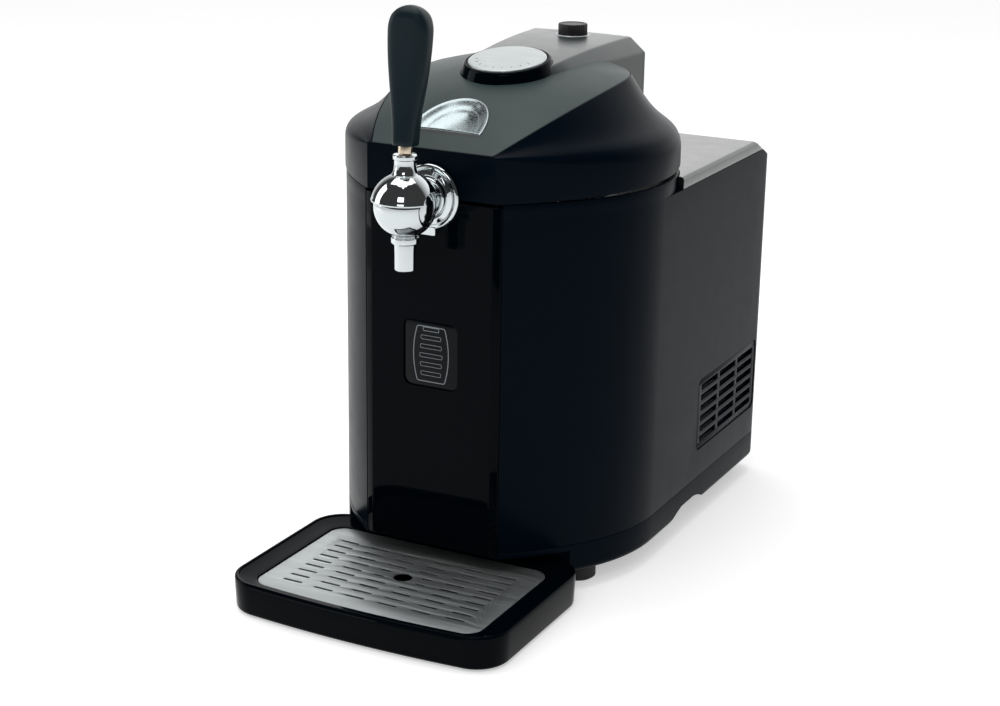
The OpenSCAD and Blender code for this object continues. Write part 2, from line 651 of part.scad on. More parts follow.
// Point of the lid's base outline in the direction of an edge station.
function base_pt(az, t) = let (R = half_w + lid_over - t)
    az < tangent_az
        ? [R * cos(az), lid_cy - R * sin(az)]
        : let (r = arc_r + lid_over - t, dx = arc_cx, dy = arc_cy - lid_cy,
               b = -dx * cos(az) + dy * sin(az), k = -b + sqrt(b * b - dx * dx - dy * dy + r * r))
            [k * cos(az), lid_cy - k * sin(az)];
function edge_pt(i, t) = let (y = edge_ys[i], w = visor_w(y), k = t / norm([w, y - visor_wide_y]))
    y <= visor_wide_y ? [w - t, max(y, t - front_y)] : [w * (1 - k), y - (y - visor_wide_y) * k];
function station_az(i) = let (p = edge_pt(i, 0)) atan2(lid_cy - p[1], max(0.001, p[0]));
// One flank point: f runs from the crease to the visor's edge.
function bell(f) = f < 0.08 ? f * 1.25 : f < 0.2 ? 0.1 + (f - 0.08) * 0.75
    : f < 0.4 ? 0.19 + (f - 0.2) * 0.65 : f < 0.6 ? 0.32 + (f - 0.4) * 0.8
    : f < 0.8 ? 0.48 + (f - 0.6) * 1.1 : 0.7 + (f - 0.8) * 1.5;
function flank_pt(i, f, t) = let (b = i == 0 ? [front_half_w - t * 0.6, -front_y + t] : base_pt(station_az(i), t),
    e = edge_pt(i, t), ze = visor_edge_z(edge_ys[i]), zb = band_z(b[1]), h = bell(f))
    [b[0] + (e[0] - b[0]) * f, b[1] + (e[1] - b[1]) * f, zb + (ze - zb) * h - (f > 0 ? t * 0.4 : t * 0.5)];
function mirror_ring(r) = concat(r, [for (i = [len(r) - 1:-1:0]) if (r[i][0] > 0.01) [-r[i][0], r[i][1], r[i][2]]]);
last_station = len(edge_ys) - 1;
function level_ring(t, low) = mirror_ring([for (i = [0:last_station]) let (
    b = i == 0 ? [front_half_w - t * 0.6, -front_y + t] : base_pt(station_az(i), t)) [b[0], b[1], seam_z(b[1]) - low]]);
function flank_ring(f, t) = mirror_ring([for (i = [0:last_station]) flank_pt(i, f, t)]);

flank_fs = [0, 0.08, 0.2, 0.4, 0.6, 0.8, 1];
// Ring on the visor's seat: inset by t, and d below the visor's surface.
function seat_ring(t, d) = mirror_ring([for (i = [0:last_station]) let (p = edge_pt(i, t)) [p[0], p[1], visor_z(p[0], p[1]) - d]]);
crown_y = -10;                  // the rings over the visor close in on this place
function crown_ring(s) = mirror_ring([for (i = [0:last_station]) let (p = edge_pt(i, 0), x = p[0] * s,
    y = crown_y + (p[1] - crown_y) * s) [x, y, visor_z(x, y)]]);
// Solid under the lid's whole outer surface, raised by up.
module lid_cap(up) {
    translate([0, 0, up]) loft(concat([level_ring(0, 0)], [for (f = flank_fs) flank_ring(f, 0)],
        [for (s = [0.85, 0.65, 0.45, 0.25, 0.08]) crown_ring(s)]));
}
// Spine: a raised ridge from the disc to the back of the lid.
spine_y0 = -10;
spine_y1 = 129;
spine_ys = [spine_y1, 106, 84, 62, 40, 20, 5, spine_y0];
function spine_f(y) = (y - spine_y0) / (spine_y1 - spine_y0);
function spine_top_w(y) = 35 + 9.5 * pow(spine_f(y), 0.75);
function spine_foot_w(y) = 38 + 20.5 * pow(spine_f(y), 0.6);
function spine_top_z(y) = spine_z - 7.5 * pow(1 - spine_f(y), 2.4);
function spine_foot_z(y) = y < 10 ? 390.5 + 4.2 * (y - spine_y0) / 20 : 394.7;
function spine_ring(y, ys, t, low) = [[-spine_foot_w(y) - t, ys, low], [spine_foot_w(y) + t, ys, low],
    [spine_foot_w(y) + t, ys, spine_foot_z(y)], [spine_top_w(y) + t, ys, spine_top_z(y) + t],
    [-spine_top_w(y) - t, ys, spine_top_z(y) + t], [-spine_foot_w(y) - t, ys, spine_foot_z(y)]];
// The spine grown by t, down to the level low.
module spine_form(t, low) {
    loft([for (y = spine_ys) spine_ring(y, y == spine_y1 ? y + t : y == spine_y0 ? y - t : y, t, low)]);
}
spine_ledge = 5;                // the lid is open under the spine inside this ledge
disc_y = -9.9;
disc_z = 402.2;
disc_tilt = 9.7;
disc_r = 31.2;
collar_r = 36;
module on_disc() {
    translate([0, disc_y, disc_z]) rotate([disc_tilt, 0, 0]) children();
}
scoop_y = -111;
scoop_w = 30;
scoop_d = 41;
// Plan of the half-moon scoop, grown by g.
function scoop_plan(g) = concat([for (i = [-4:3]) [(scoop_w + g) * i / 4, scoop_y - g]],
    [for (a = [0:10:170]) [(scoop_w + g) * cos(a), scoop_y + 2 * sin(a) + (scoop_d + g - 2) * sin(a)]]);
module lid_ring() {
    color([0.075, 0.085, 0.095]) moulding() difference() {
        // Up the outer face, over the visor's seat and down the inner face
        loop_loft(concat([level_ring(0, 0)], [for (f = flank_fs) flank_ring(f, 0)],
            [seat_ring(seam_half, visor_t), seat_ring(seat_w, visor_t), seat_ring(seat_w, visor_t + wall)],
            [for (f = [0.8, 0.6, 0.4, 0.2, 0.08, 0]) flank_ring(f, wall)], [level_ring(wall, 0)]));
        spine_form(-spine_ledge, 300);
        rod_y(0, tap_z, shank_r + 1, -150, -100);
        block([-shank_r - 1, -150, 300], [shank_r + 1, -100, tap_z]);
    }
}
visor_t = 3;
seat_gap = 0.25;                // between the visor and its ledge
seam_half = 0.35;
seat_w = 5;
// Half width of the visor's own edge at y, a seam inside its seat.
function plate_w(y) = let (k = (visor_back_y - visor_wide_y) / (visor_back_y - 2 * seam_half - visor_wide_y))
    visor_w(y < visor_wide_y ? y : visor_wide_y + (y - visor_wide_y) * k) - 2 * seam_half;
visor_rows = 14;
visor_cols = 12;
function visor_row_y(i) = let (y0 = -front_y + 2 * seam_half, y1 = visor_back_y - 4 * seam_half) y0 + (y1 - y0) * sin(90 * i / visor_rows);
module visor_plate() {
    loft([for (i = [visor_rows:-1:0]) let (y = visor_row_y(i), w = plate_w(y)) concat(
        [for (c = [0:visor_cols]) let (x = w * (2 * c / visor_cols - 1)) [x, y, visor_z(x, y) - visor_t + seat_gap]],
        [for (c = [visor_cols:-1:0]) let (x = w * (2 * c / visor_cols - 1)) [x, y, visor_z(x, y)]])]);
}
module lid_visor() {
    color([0.3, 0.33, 0.33]) moulding() difference() {
        visor_plate();
        spine_form(-spine_ledge, 300);
        on_disc() translate([0, 0, -40]) cylinder(r = collar_r + 0.1, h = 80, $fn = 72);
        slab(330, 420) polygon(scoop_plan(0));
    }
}
pan_z = 326;
module lid_inner_pan() {
    color([0.7, 0.71, 0.7]) difference() {
        slab(pan_z, pan_z + 2) polygon([for (p = level_ring(wall + 0.02, 0)) [p[0], p[1]]]);
        rod_z(0, keg_cy, 24, 300, 340, 48);
        block([-24, -140, 300], [24, -92, 340]);
    }
}
module spine_housing() {
    color([0.06, 0.068, 0.075]) moulding() difference() {
        spine_form(0, 340);
        lid_cap(0.15);
        visor_plate();
        spine_form(-wall, 300);
        on_disc() translate([0, 0, -60]) cylinder(r = collar_r + 0.1, h = 120, $fn = 72);
        rod_z(0, knob_y, 5, 380, 420);
    }
}
module disc_collar() {
    color([0.015, 0.017, 0.02]) on_disc() rotate_extrude($fn = 72)
        polygon([[0, -14], [collar_r - 1.5, -14], [collar_r, -12.5], [collar_r, -5], [disc_r + 2.4, 0.2],
            [disc_r + 0.7, 0.2], [disc_r + 0.7, -2.2], [dial_stem_r + 0.05, -2.2], [dial_stem_r + 0.05, -9.2], [0, -9.2]]);
}
dial_stem_r = 5;
module dial_disc() {
    color([0.72, 0.73, 0.74]) on_disc() rotate_extrude($fn = 72)
        polygon([[0, -9], [dial_stem_r, -9], [dial_stem_r, -1.6], [disc_r - 1, -1.6], [disc_r, -0.8],
            [disc_r, 0.6], [disc_r - 1, 1.4], [0, 1.8]]);
}
knob_y = 109.8;
knob_r = 12.2;
module regulator_knob() {
    color([0.04, 0.045, 0.05]) union() {
        translate([0, knob_y, spine_z + 0.4]) difference() {
            linear_extrude(10) polygon([for (i = [0:71]) let (r = knob_r - (i % 3 == 0 ? 0.8 : 0)) [r * cos(i * 5), r * sin(i * 5)]]);
            translate([0, 0, 9.4]) difference() {
                cylinder(r = 20, h = 2, $fn = 48);
                translate([0, 0, -0.01]) cylinder(r = knob_r - 1.6, h = 3, $fn = 48);
            }
        }
        rod_z(0, knob_y, 4.05, spine_z - 12, spine_z + 0.5);
    }
}
module regulator_body() {
    color([0.75, 0.65, 0.35]) difference() {
        union() {
            rod_z(0, knob_y, 11, spine_z - 16.1, spine_z - wall - 0.3);
            block([-17, knob_y - 9, spine_z - 30], [17, knob_y + 9, spine_z - 16]);
        }
        rod_z(0, knob_y, 4.1, spine_z - 14, spine_z);
    }
}
module gas_cartridge() {
    color([0.6, 0.62, 0.64]) translate([0, knob_y - 9, spine_z - 22]) rotate([90, 0, 0]) rotate_extrude($fn = 48)
        polygon([[0, 0], [3.6, 0], [3.6, 6], [9.4, 14], [9.4, 58], [7, 62], [0, 62]]);
}
module hinge_bracket() {
    color([0.3, 0.3, 0.31]) for (x = [-hinge_x, hinge_x]) difference() {
        union() {
            block([x - 12.6, hinge_y - 9, cover_top_z], [x + 12.6, hinge_y + 10, cover_top_z + 2.2]);
            for (s = [-1, 1]) {
                block([x + s * 10.5 - 2.1, hinge_y - 6, cover_top_z + 2], [x + s * 10.5 + 2.1, hinge_y + 6, hinge_z]);
                rod_x(hinge_y, hinge_z, 6, x + s * 10.5 - 2.1, x + s * 10.5 + 2.1);
            }
        }
        rod_x(hinge_y, hinge_z, hinge_pin_r, x - 20, x + 20);
    }
}
hinge_x = 50;
hinge_pin_r = 3;
module hinge_pins() {
    color([0.7, 0.7, 0.7]) for (x = [-hinge_x, hinge_x])
        rod_x(hinge_y, hinge_z, hinge_pin_r, x - 12.6, x + 12.6);
}
// Steel leaves that pass through the gap under the lid to the pins.
module lid_hinge_leaves() {
    color([0.6, 0.6, 0.61]) for (x = [-hinge_x, hinge_x]) difference() {
        union() {
            block([x - 8, 96, 318.6], [x + 8, hinge_y, 321.4]);
            block([x - 8, 96, 318.6], [x + 8, 110, pan_z]);
            rod_x(hinge_y, hinge_z, 6, x - 8, x + 8);
        }
        rod_x(hinge_y, hinge_z, hinge_pin_r + 0.05, x - 20, x + 20);
    }
}
magnet_x = 78;
magnet_y = -88;
module catch_plates() {
    color([0.65, 0.66, 0.67]) for (x = [-magnet_x, magnet_x])
        block([x - 7, magnet_y - 7, deck_z], [x + 7, magnet_y + 7, 312]);
}
module catch_magnets() {
    color([0.5, 0.5, 0.52]) for (x = [-magnet_x, magnet_x]) rod_z(x, magnet_y, 6, 312.6, pan_z);
}
// Half-moon dish let into the visor: its outline shrunk by s, at a depth d.
scoop_mid_y = scoop_y + 15;
function scoop_ring(s, d) = [for (p = scoop_plan(0)) let (x = p[0] * s, y = scoop_mid_y + (p[1] - scoop_mid_y) * s)
    [x, y, visor_z(x, y) - d]];
module finger_scoop() {
    color([0.8, 0.81, 0.82]) loft([scoop_ring(0.3, 10), scoop_ring(0.75, 7.5), scoop_ring(1, 3.5), scoop_ring(1, 0),
        scoop_ring(0.95, -0.5), scoop_ring(0.84, 0.2), scoop_ring(0.6, 5), scoop_ring(0.3, 7)]);
}

// ---------------------------------------------------------------- drip tray

tray_back_y = -88;
tray_corner = 28;
tray_bow = 4.8;                 // how far the front edge curves back at 100 from the middle
plate_top_z = 24.6;
plate_half_w = 96.5;
plate_front_y = 240.5;
plate_back_y = -111;
function bow(x) = tray_bow * x * x / 10000;
// Outline with a bowed front edge and round corners: half width w, front yf, back yb, corner c.
function bowed_side(w, yf, yb, c) = let (x0 = w - c) concat([for (i = [0:5]) [x0 * i / 5, yf + bow(x0 * i / 5)]],
    arc(x0, yf + bow(x0) + c, c, -80, 0, 7), arc(x0, yb - c, c, 0, 90, 7));
function bowed(w, yf, yb, c) = let (p = bowed_side(w, yf, yb, c)) concat(p, [for (i = [len(p) - 1:-1:1]) [-p[i][0], p[i][1]]]);
function tray_ring(t, z) = at_z(bowed(tray_half_w - t, t - tray_front_y, tray_back_y - t, tray_corner - t), z);
// The plate's outline grown by g.
function plate_ring(g, z) = at_z(bowed(plate_half_w + g, -plate_front_y - g, plate_back_y + g, 13 + g), z);
plate_t = 1.2;
module drip_tray() {
    color([0.012, 0.014, 0.018]) union() {
        loft([tray_ring(3.6, 1.2), tray_ring(1.6, 2.4), tray_ring(0, tray_rim_z - 1.2), tray_ring(0.7, tray_rim_z),
            tray_ring(2.6, tray_rim_z), tray_ring(3.3, tray_rim_z - 0.7), plate_ring(0.5, plate_top_z + 0.3),
            plate_ring(0.5, plate_top_z - plate_t), plate_ring(-4.5, plate_top_z - plate_t), plate_ring(-7, 5)]);
        for (s = [-1, 1]) block([s * 70 - 12, tray_back_y - 4, base_z + wall + 0.5],
            [s * 70 + 12, bay_back_y + 22, base_z + wall + 4.5]);
    }
}
module grille_plate() {
    pitch_x = 28.3;
    pitch_y = 10.78;
    front_row = -221.5;
    hole_row = (slot_rows - 1) / 2 + 0.5;
    color([0.75, 0.76, 0.76]) difference() {
        slab(plate_top_z - plate_t, plate_top_z) difference() {
            polygon(bowed(plate_half_w, -plate_front_y, plate_back_y, 13));
            for (c = [0:slot_cols - 1], r = [0:slot_rows - 1]) {
                x = (c - (slot_cols - 1) / 2) * pitch_x;
                near = abs(x) < pitch_x && abs(r - hole_row) < 1;
                w = near ? 9 : 16.6;
                translate([x + (near ? sign(x) * 3.8 : 0), front_row + r * pitch_y + bow(x) * (1 - 0.7 * r / 8)])
                    square([w, 2.6], center = true);
            }
            translate([0, front_row + hole_row * pitch_y]) circle(r = 7.4, $fn = 48);
        }
    }
}
module case_screws() {
    color([0.6, 0.6, 0.6]) for (p = [[-110, 236], [110, 236], [-110, 120], [110, 120]])
        translate([p[0], p[1], base_z - 1.6]) rotate_extrude($fn = 24)
            polygon([[0, 0], [3.2, 0], [3.6, 0.6], [3.6, 1.5], [0, 1.5]]);
}

body_shell();
base_skirt();
front_panel();
display_window();
display_lamp_board();
rear_top_cover();
rear_grille();
side_vent_left();
side_vent_right();
top_deck();
keg_liner();
liner_insulation();
cold_block();
peltier_module();
heat_sink();
fan_frame();
fan_rotor();
power_supply();
control_board();
power_inlet();
feet();
tap_bracket();
tap_flange();
tap_shank();
shank_nut();
tap_body();
tap_side_caps();
tap_pivot_pin();
nozzle_collar();
nozzle();
valve_shaft();
valve_seal();
lever_dome();
handle_stud();
handle();
beer_line();
keg_coupler();
hinge_bracket();
hinge_pins();
catch_plates();
lid_ring();
lid_visor();
lid_inner_pan();
lid_hinge_leaves();
catch_magnets();
spine_housing();
disc_collar();
dial_disc();
regulator_knob();
regulator_body();
gas_cartridge();
finger_scoop();
drip_tray();
grille_plate();
case_screws();
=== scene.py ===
"""Looks of the mini keg beer dispenser, built around its packed construction."""

import json
from math import acos, asin, atan2, copysign, cos, hypot, pi, radians, sin, sqrt

import bmesh
import bpy
import numpy as np
from mathutils import Matrix, Vector


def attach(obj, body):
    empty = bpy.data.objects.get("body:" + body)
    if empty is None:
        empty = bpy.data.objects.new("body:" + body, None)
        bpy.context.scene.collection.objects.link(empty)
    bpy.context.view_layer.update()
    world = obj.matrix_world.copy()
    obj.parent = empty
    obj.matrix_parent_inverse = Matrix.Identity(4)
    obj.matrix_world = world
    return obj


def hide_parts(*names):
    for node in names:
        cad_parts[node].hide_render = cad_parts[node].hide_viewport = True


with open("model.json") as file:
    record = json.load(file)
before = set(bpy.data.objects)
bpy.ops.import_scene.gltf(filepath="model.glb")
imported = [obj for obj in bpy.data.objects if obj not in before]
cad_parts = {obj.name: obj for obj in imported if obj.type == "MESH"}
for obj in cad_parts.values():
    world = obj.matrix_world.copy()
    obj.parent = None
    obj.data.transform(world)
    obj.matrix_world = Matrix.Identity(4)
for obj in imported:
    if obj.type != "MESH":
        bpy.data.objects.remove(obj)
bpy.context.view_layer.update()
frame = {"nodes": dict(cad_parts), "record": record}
nodes = frame["nodes"]
scene = bpy.context.scene
MM = 0.001

# --- driving sizes, in metres

HALF_W = 133.0 * MM                  # half width of the cabinet
REAR_Y = 252.5 * MM
CORNER_R = 22.0 * MM
WALL = 2.6 * MM
FRONT_Y = -131.5 * MM                # flat front of the panel and of the lid
FRONT_W = 51.5 * MM
SHOULDER_W = 58.5 * MM               # where the panel's bevel meets the round shell
SHOULDER_Y = -128.4 * MM
RECESS_Y = -122.0 * MM
LID_CY = 3.0 * MM                    # centre of the lid's circle
TANGENT = radians(28)           # where the flatter front arc leaves that circle
BASE_Z, SEAM_Z, COVER_SEAM_Z, COVER_Z, TOP_Z = [v * MM for v in (15, 40, 304, 314, 316.5)]
SLOPE_Y = 203.0 * MM
SLOPE = radians(27)
TAP_Y = -170.0 * MM
TAP_Z = 317.5 * MM
BALL_R = 23.2 * MM

# --- outlines

_dx, _dy = SHOULDER_W, SHOULDER_Y - LID_CY
ARC_MORE = (_dx * _dx + _dy * _dy - HALF_W ** 2) / (
    2 * HALF_W - 2 * _dx * cos(TANGENT) + 2 * _dy * sin(TANGENT))
ARC_R = HALF_W + ARC_MORE
ARC_CX = -ARC_MORE * cos(TANGENT)
ARC_CY = LID_CY + ARC_MORE * sin(TANGENT)


def arc(cx, cy, r, a, b, n):
    """Points along an arc from angle a to b, in radians."""
    return [(cx + r * cos(a + (b - a) * i / n), cy + r * sin(a + (b - a) * i / n))
            for i in range(n + 1)]


def front_side(t, y0, n=40):
    """Right side of the shell's front, inset by t, from its flat at y0 to the widest place."""
    start = asin((y0 - ARC_CY) / (ARC_R - t))
    return (arc(ARC_CX, ARC_CY, ARC_R - t, start, -TANGENT, n)
            + arc(0, LID_CY, HALF_W - t, -TANGENT, 0, 14)[1:])


def box_tail(t):
    side = [(HALF_W - t, LID_CY + (REAR_Y - CORNER_R - LID_CY) * i / 10) for i in range(1, 10)]
    return side + arc(HALF_W - CORNER_R, REAR_Y - CORNER_R, CORNER_R - t, 0, pi / 2, 14)


def round_tail(t):
    return arc(0, LID_CY, HALF_W - t, 0, pi / 2 - 0.02, 24)[1:]


def both(points):
    return points + [(-x, y) for x, y in reversed(points)]


def box_outline(t=0.0, y0=SHOULDER_Y):
    return both(front_side(t, y0) + box_tail(t))


def mm(points):
    """Points given in millimetres, in metres."""
    return [(a * MM, b * MM) for a, b in points]


def at_z(points, z):
    return [(x, y, z) for x, y in points]


def fillet(points, radius, closed=False, steps=3):
    """The polyline with its corners rounded."""
    out = []
    count = len(points)
    for i, p in enumerate(points):
        b = np.array(p, float)
        if not closed and i in (0, count - 1):
            out.append(tuple(b))
            continue
        a, c = np.array(points[i - 1], float), np.array(points[(i + 1) % count], float)
        la, lc = np.linalg.norm(a - b), np.linalg.norm(c - b)
        r = min(radius, 0.45 * la, 0.45 * lc)
        u, v = b + (a - b) / la * r, b + (c - b) / lc * r
        for k in range(steps + 1):
            s = k / steps
            out.append(tuple((1 - s) ** 2 * u + 2 * s * (1 - s) * b + s * s * v))
    return out


# --- mesh makers


def shade(mesh, sharp):
    mesh.polygons.foreach_set("use_smooth", [True] * len(mesh.polygons))
    mesh.set_sharp_from_angle(angle=radians(sharp))


def new_object(name, mesh):
    obj = bpy.data.objects.new(name, mesh)
    scene.collection.objects.link(obj)
    return obj


def from_bmesh(bm, name, sharp=30):
    bmesh.ops.recalc_face_normals(bm, faces=bm.faces)
    mesh = bpy.data.meshes.new(name)
    bm.to_mesh(mesh)
    bm.free()
    shade(mesh, sharp)
    return new_object(name, mesh)


def loft(name, rings, loop=False, sharp=30):
    """Skin over rings of equal counts; a loop closes on itself, else both ends are capped."""
    bm = bmesh.new()
    rows = [[bm.verts.new(p) for p in ring] for ring in rings]
    count = len(rows[0])
    for j in range(len(rows) if loop else len(rows) - 1):
        a, b = rows[j], rows[(j + 1) % len(rows)]
        for i in range(count):
            k = (i + 1) % count
            bm.faces.new((a[i], a[k], b[k], b[i]))
    if not loop:
        bm.faces.new(rows[0][::-1])
        bm.faces.new(rows[-1])
    bmesh.ops.remove_doubles(bm, verts=bm.verts, dist=1e-6)
    bmesh.ops.dissolve_degenerate(bm, edges=bm.edges, dist=1e-6)
    return from_bmesh(bm, name, sharp)


AXES = {
    "z": lambda r, h, a: (r * cos(a), r * sin(a), h),
    "y": lambda r, h, a: (r * cos(a), h, r * sin(a)),
    "x": lambda r, h, a: (h, r * cos(a), r * sin(a)),
}


def lathe(name, profile, at=(0, 0, 0), axis="z", edge=0.25 * MM, segments=96, turn=None, sharp=32):
    """Revolves (radius, height) points, from axis to axis or as a closed ring off the axis."""
    ring = min(r for r, _ in profile) > 1e-6
    points = fillet(profile, edge, closed=ring)
    rings = []
    for r, h in points:
        row = [Vector(AXES[axis](r, h, 2 * pi * i / segments)) for i in range(segments)]
        if turn:
            row = [turn @ p for p in row]
        rings.append([p + Vector(at) for p in row])
    if ring:
        return loft(name, rings, loop=True, sharp=sharp)
    return loft(name, rings, sharp=sharp)


def solid_box(name, lo, hi):
    return loft(name, [[(lo[0], lo[1], z), (hi[0], lo[1], z), (hi[0], hi[1], z), (lo[0], hi[1], z)]
                       for z in (lo[2], hi[2])])


def evaluated_mesh(obj, sharp):
    """Applies the object's modifiers to its mesh."""
    graph = bpy.context.evaluated_depsgraph_get()
    mesh = bpy.data.meshes.new_from_object(obj.evaluated_get(graph))
    obj.modifiers.clear()
    obj.data = mesh
    shade(mesh, sharp)


def cut(obj, *cutters, operation="DIFFERENCE", sharp=30):
    for cutter in cutters:
        mod = obj.modifiers.new("cut", "BOOLEAN")
        mod.operation = operation
        mod.solver = "EXACT"
        mod.object = cutter
    evaluated_mesh(obj, sharp)
    for cutter in cutters:
        bpy.data.objects.remove(cutter)
    return obj


def bevel(obj, width, segments=2, angle=30):
    mod = obj.modifiers.new("bevel", "BEVEL")
    mod.width = width
    mod.segments = segments
    mod.limit_method = "ANGLE"
    mod.angle_limit = radians(angle)
    mod.harden_normals = False
    return obj


def rounded_rect(w, h, r, steps=6):
    corners = [(w / 2 - r, h / 2 - r, 0), (r - w / 2, h / 2 - r, 1), (r - w / 2, r - h / 2, 2),
               (w / 2 - r, r - h / 2, 3)]
    return [p for cx, cy, q in corners for p in arc(cx, cy, r, q * pi / 2, (q + 1) * pi / 2, steps)]


def plate(name, loops, thick, edge, place, sharp=30):
    """Flat plate with holes and rounded edges: the first loop is its outline."""
    curve = bpy.data.curves.new(name, "CURVE")
    curve.dimensions = "2D"
    curve.fill_mode = "BOTH"
    curve.extrude = thick / 2 - edge
    curve.bevel_depth = edge
    curve.bevel_resolution = 1
    curve.offset = -edge
    for loop in loops:
        spline = curve.splines.new("POLY")
        spline.points.add(len(loop) - 1)
        for point, (x, y) in zip(spline.points, loop):
            point.co = (x, y, 0, 1)
        spline.use_cyclic_u = True
    tmp = bpy.data.objects.new("tmp", curve)
    scene.collection.objects.link(tmp)
    graph = bpy.context.evaluated_depsgraph_get()
    mesh = bpy.data.meshes.new_from_object(tmp.evaluated_get(graph))
    bpy.data.objects.remove(tmp)
    mesh.transform(place)
    bm = bmesh.new()
    bm.from_mesh(mesh)
    bmesh.ops.remove_doubles(bm, verts=bm.verts, dist=1e-6)
    return from_bmesh(bm, name, sharp)


def facing(x, y, z, axis):
    """Placement of a plate whose own x runs level and whose own z points along axis."""
    turns = {"front": Matrix.Rotation(pi / 2, 4, "X"),
             "rear": Matrix.Rotation(pi, 4, "Z") @ Matrix.Rotation(pi / 2, 4, "X"),
             "right": Matrix.Rotation(pi / 2, 4, "Z") @ Matrix.Rotation(pi / 2, 4, "X"),
             "left": Matrix.Rotation(-pi / 2, 4, "Z") @ Matrix.Rotation(pi / 2, 4, "X"),
             "up": Matrix.Identity(4)}
    return Matrix.Translation((x, y, z)) @ turns[axis]


# --- materials


def add(tree, kind):
    return tree.nodes.new("ShaderNode" + kind)


def put(node, socket, value):
    node.inputs[socket].default_value = value


def tree_of(name):
    material = bpy.data.materials.new(name)
    material.use_nodes = True
    tree = material.node_tree
    return material, tree, tree.nodes["Principled BSDF"]


def noise(tree, scale, detail=2.0, stretch=None):
    coords = add(tree, "TexCoord")
    mapping = add(tree, "Mapping")
    texture = add(tree, "TexNoise")
    put(mapping, "Scale", stretch or (1, 1, 1))
    put(texture, "Scale", scale)
    put(texture, "Detail", detail)
    tree.links.new(coords.outputs["Object"], mapping.inputs["Vector"])
    tree.links.new(mapping.outputs["Vector"], texture.inputs["Vector"])
    return texture.outputs["Fac"]


def ranged(tree, value, lo, hi, low_in=0.3, high_in=0.7):
    node = add(tree, "MapRange")
    put(node, "From Min", low_in)
    put(node, "From Max", high_in)
    put(node, "To Min", lo)
    put(node, "To Max", hi)
    tree.links.new(value, node.inputs["Value"])
    return node.outputs["Result"]


def bumped(tree, shader, value, strength, distance):
    node = add(tree, "Bump")
    put(node, "Strength", strength)
    put(node, "Distance", distance)
    tree.links.new(value, node.inputs["Height"])
    tree.links.new(node.outputs["Normal"], shader.inputs["Normal"])


def tinted(tree, shader, color, other, scale):
    """Colour that drifts between two near shades over the surface."""
    node = add(tree, "Mix")
    node.data_type = "RGBA"
    put(node, "A", (*color, 1))
    put(node, "B", (*other, 1))
    tree.links.new(ranged(tree, noise(tree, scale), 0, 1), node.inputs["Factor"])
    tree.links.new(node.outputs["Result"], shader.inputs["Base Color"])


def plastic(name, color, rough, ior=1.45, grain=2600, depth=0.02, drift=1.12, spread=0.02, coat=0.0):
    material, tree, shader = tree_of(name)
    tinted(tree, shader, color, tuple(min(1, c * drift) for c in color), 14)
    low, high = max(0.02, rough - spread), rough + spread
    tree.links.new(ranged(tree, noise(tree, 60), low, high), shader.inputs["Roughness"])
    put(shader, "IOR", ior)
    put(shader, "Coat Weight", coat)
    put(shader, "Coat Roughness", 0.25)
    bumped(tree, shader, noise(tree, grain, 1.0), 0.25, depth * MM)
    return material


def metal(name, color, rough, streak=None, scale=400, depth=0.004, spread=0.4, strength=0.3):
    """Metal with fine marks: streak stretches them along one direction."""
    material, tree, shader = tree_of(name)
    tinted(tree, shader, color, tuple(c * 0.94 for c in color), 30)
    put(shader, "Metallic", 1.0)
    marks = noise(tree, scale, 3.0, streak)
    tree.links.new(ranged(tree, marks, rough * (1 - spread), rough * (1 + spread)),
        shader.inputs["Roughness"])
    bumped(tree, shader, marks, strength, depth * MM)
    return material


LOOKS = {
    "body_black": plastic("satin_black", (0.0006, 0.0030, 0.0064), 0.30, ior=1.10, grain=2400, depth=0.015),
    "panel_gloss": plastic("gloss_black", (0.0004, 0.0014, 0.0026), 0.05, ior=1.11, depth=0.0015,
        spread=0.02),
    "visor_grey": plastic("visor_grey", (0.022, 0.038, 0.037), 0.40, ior=1.28, grain=2000, depth=0.02),
    "window_smoke": plastic("smoked_pane", (0.0016, 0.0024, 0.0032), 0.06, ior=1.20, depth=0.001,
        spread=0.02),
    "chrome": metal("chrome", (0.56, 0.60, 0.61), 0.045, scale=90, depth=0.0006, spread=0.5, strength=0.1),
    "brushed": metal("brushed_steel", (0.54, 0.57, 0.575), 0.46, (2.5, 260, 260), 6, 0.010, 0.35),
    "zinc_steel": metal("zinc_steel", (0.66, 0.67, 0.67), 0.36, scale=300, depth=0.008),
    "alu": metal("aluminium", (0.80, 0.81, 0.82), 0.33, (60, 60, 3), 20, 0.006),
    "rubber_black": plastic("rubber", (0.020, 0.020, 0.021), 0.75, grain=1500, depth=0.05),
    "foam": plastic("foam", (0.80, 0.77, 0.68), 0.85, grain=420, depth=0.6),
    "inner_grey": plastic("inner_grey", (0.50, 0.51, 0.50), 0.48, grain=1800, depth=0.02),
    "ceramic": plastic("ceramic", (0.85, 0.85, 0.83), 0.4),
    "board": plastic("circuit_board", (0.02, 0.16, 0.07), 0.38, grain=500, depth=0.02),
    "brass_tint": metal("brass", (0.62, 0.53, 0.40), 0.26, scale=200, depth=0.004),
    "line_clear": plastic("beer_line", (0.80, 0.79, 0.72), 0.3),
    "handle_black": plastic("handle_black", (0.0060, 0.0140, 0.0180), 0.34, ior=1.22, grain=1500,
        depth=0.05),
    "fan_black": plastic("fan_black", (0.014, 0.014, 0.015), 0.45),
}

# Lighter, coated copy of the cabinet's black plastic for the cover: painted sheen on its top
COVER_PAINTED_SHEEN = plastic("cover_painted_sheen", (0.0050, 0.0075, 0.0090), 0.30, ior=1.42, grain=2400, depth=0.015,
    coat=0.6)


def piece(obj, body, slot, *replaced):
    obj.data.materials.clear()
    obj.data.materials.append(LOOKS[slot])
    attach(obj, body)
    if replaced:
        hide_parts(*replaced)
    return obj


# --- camera, floor and light

CAMERA_AT = Vector((0.696745, -1.380819, 0.652222))
YAW, PITCH, ROLL = (radians(v) for v in (27.017, 17.717, 0.913))


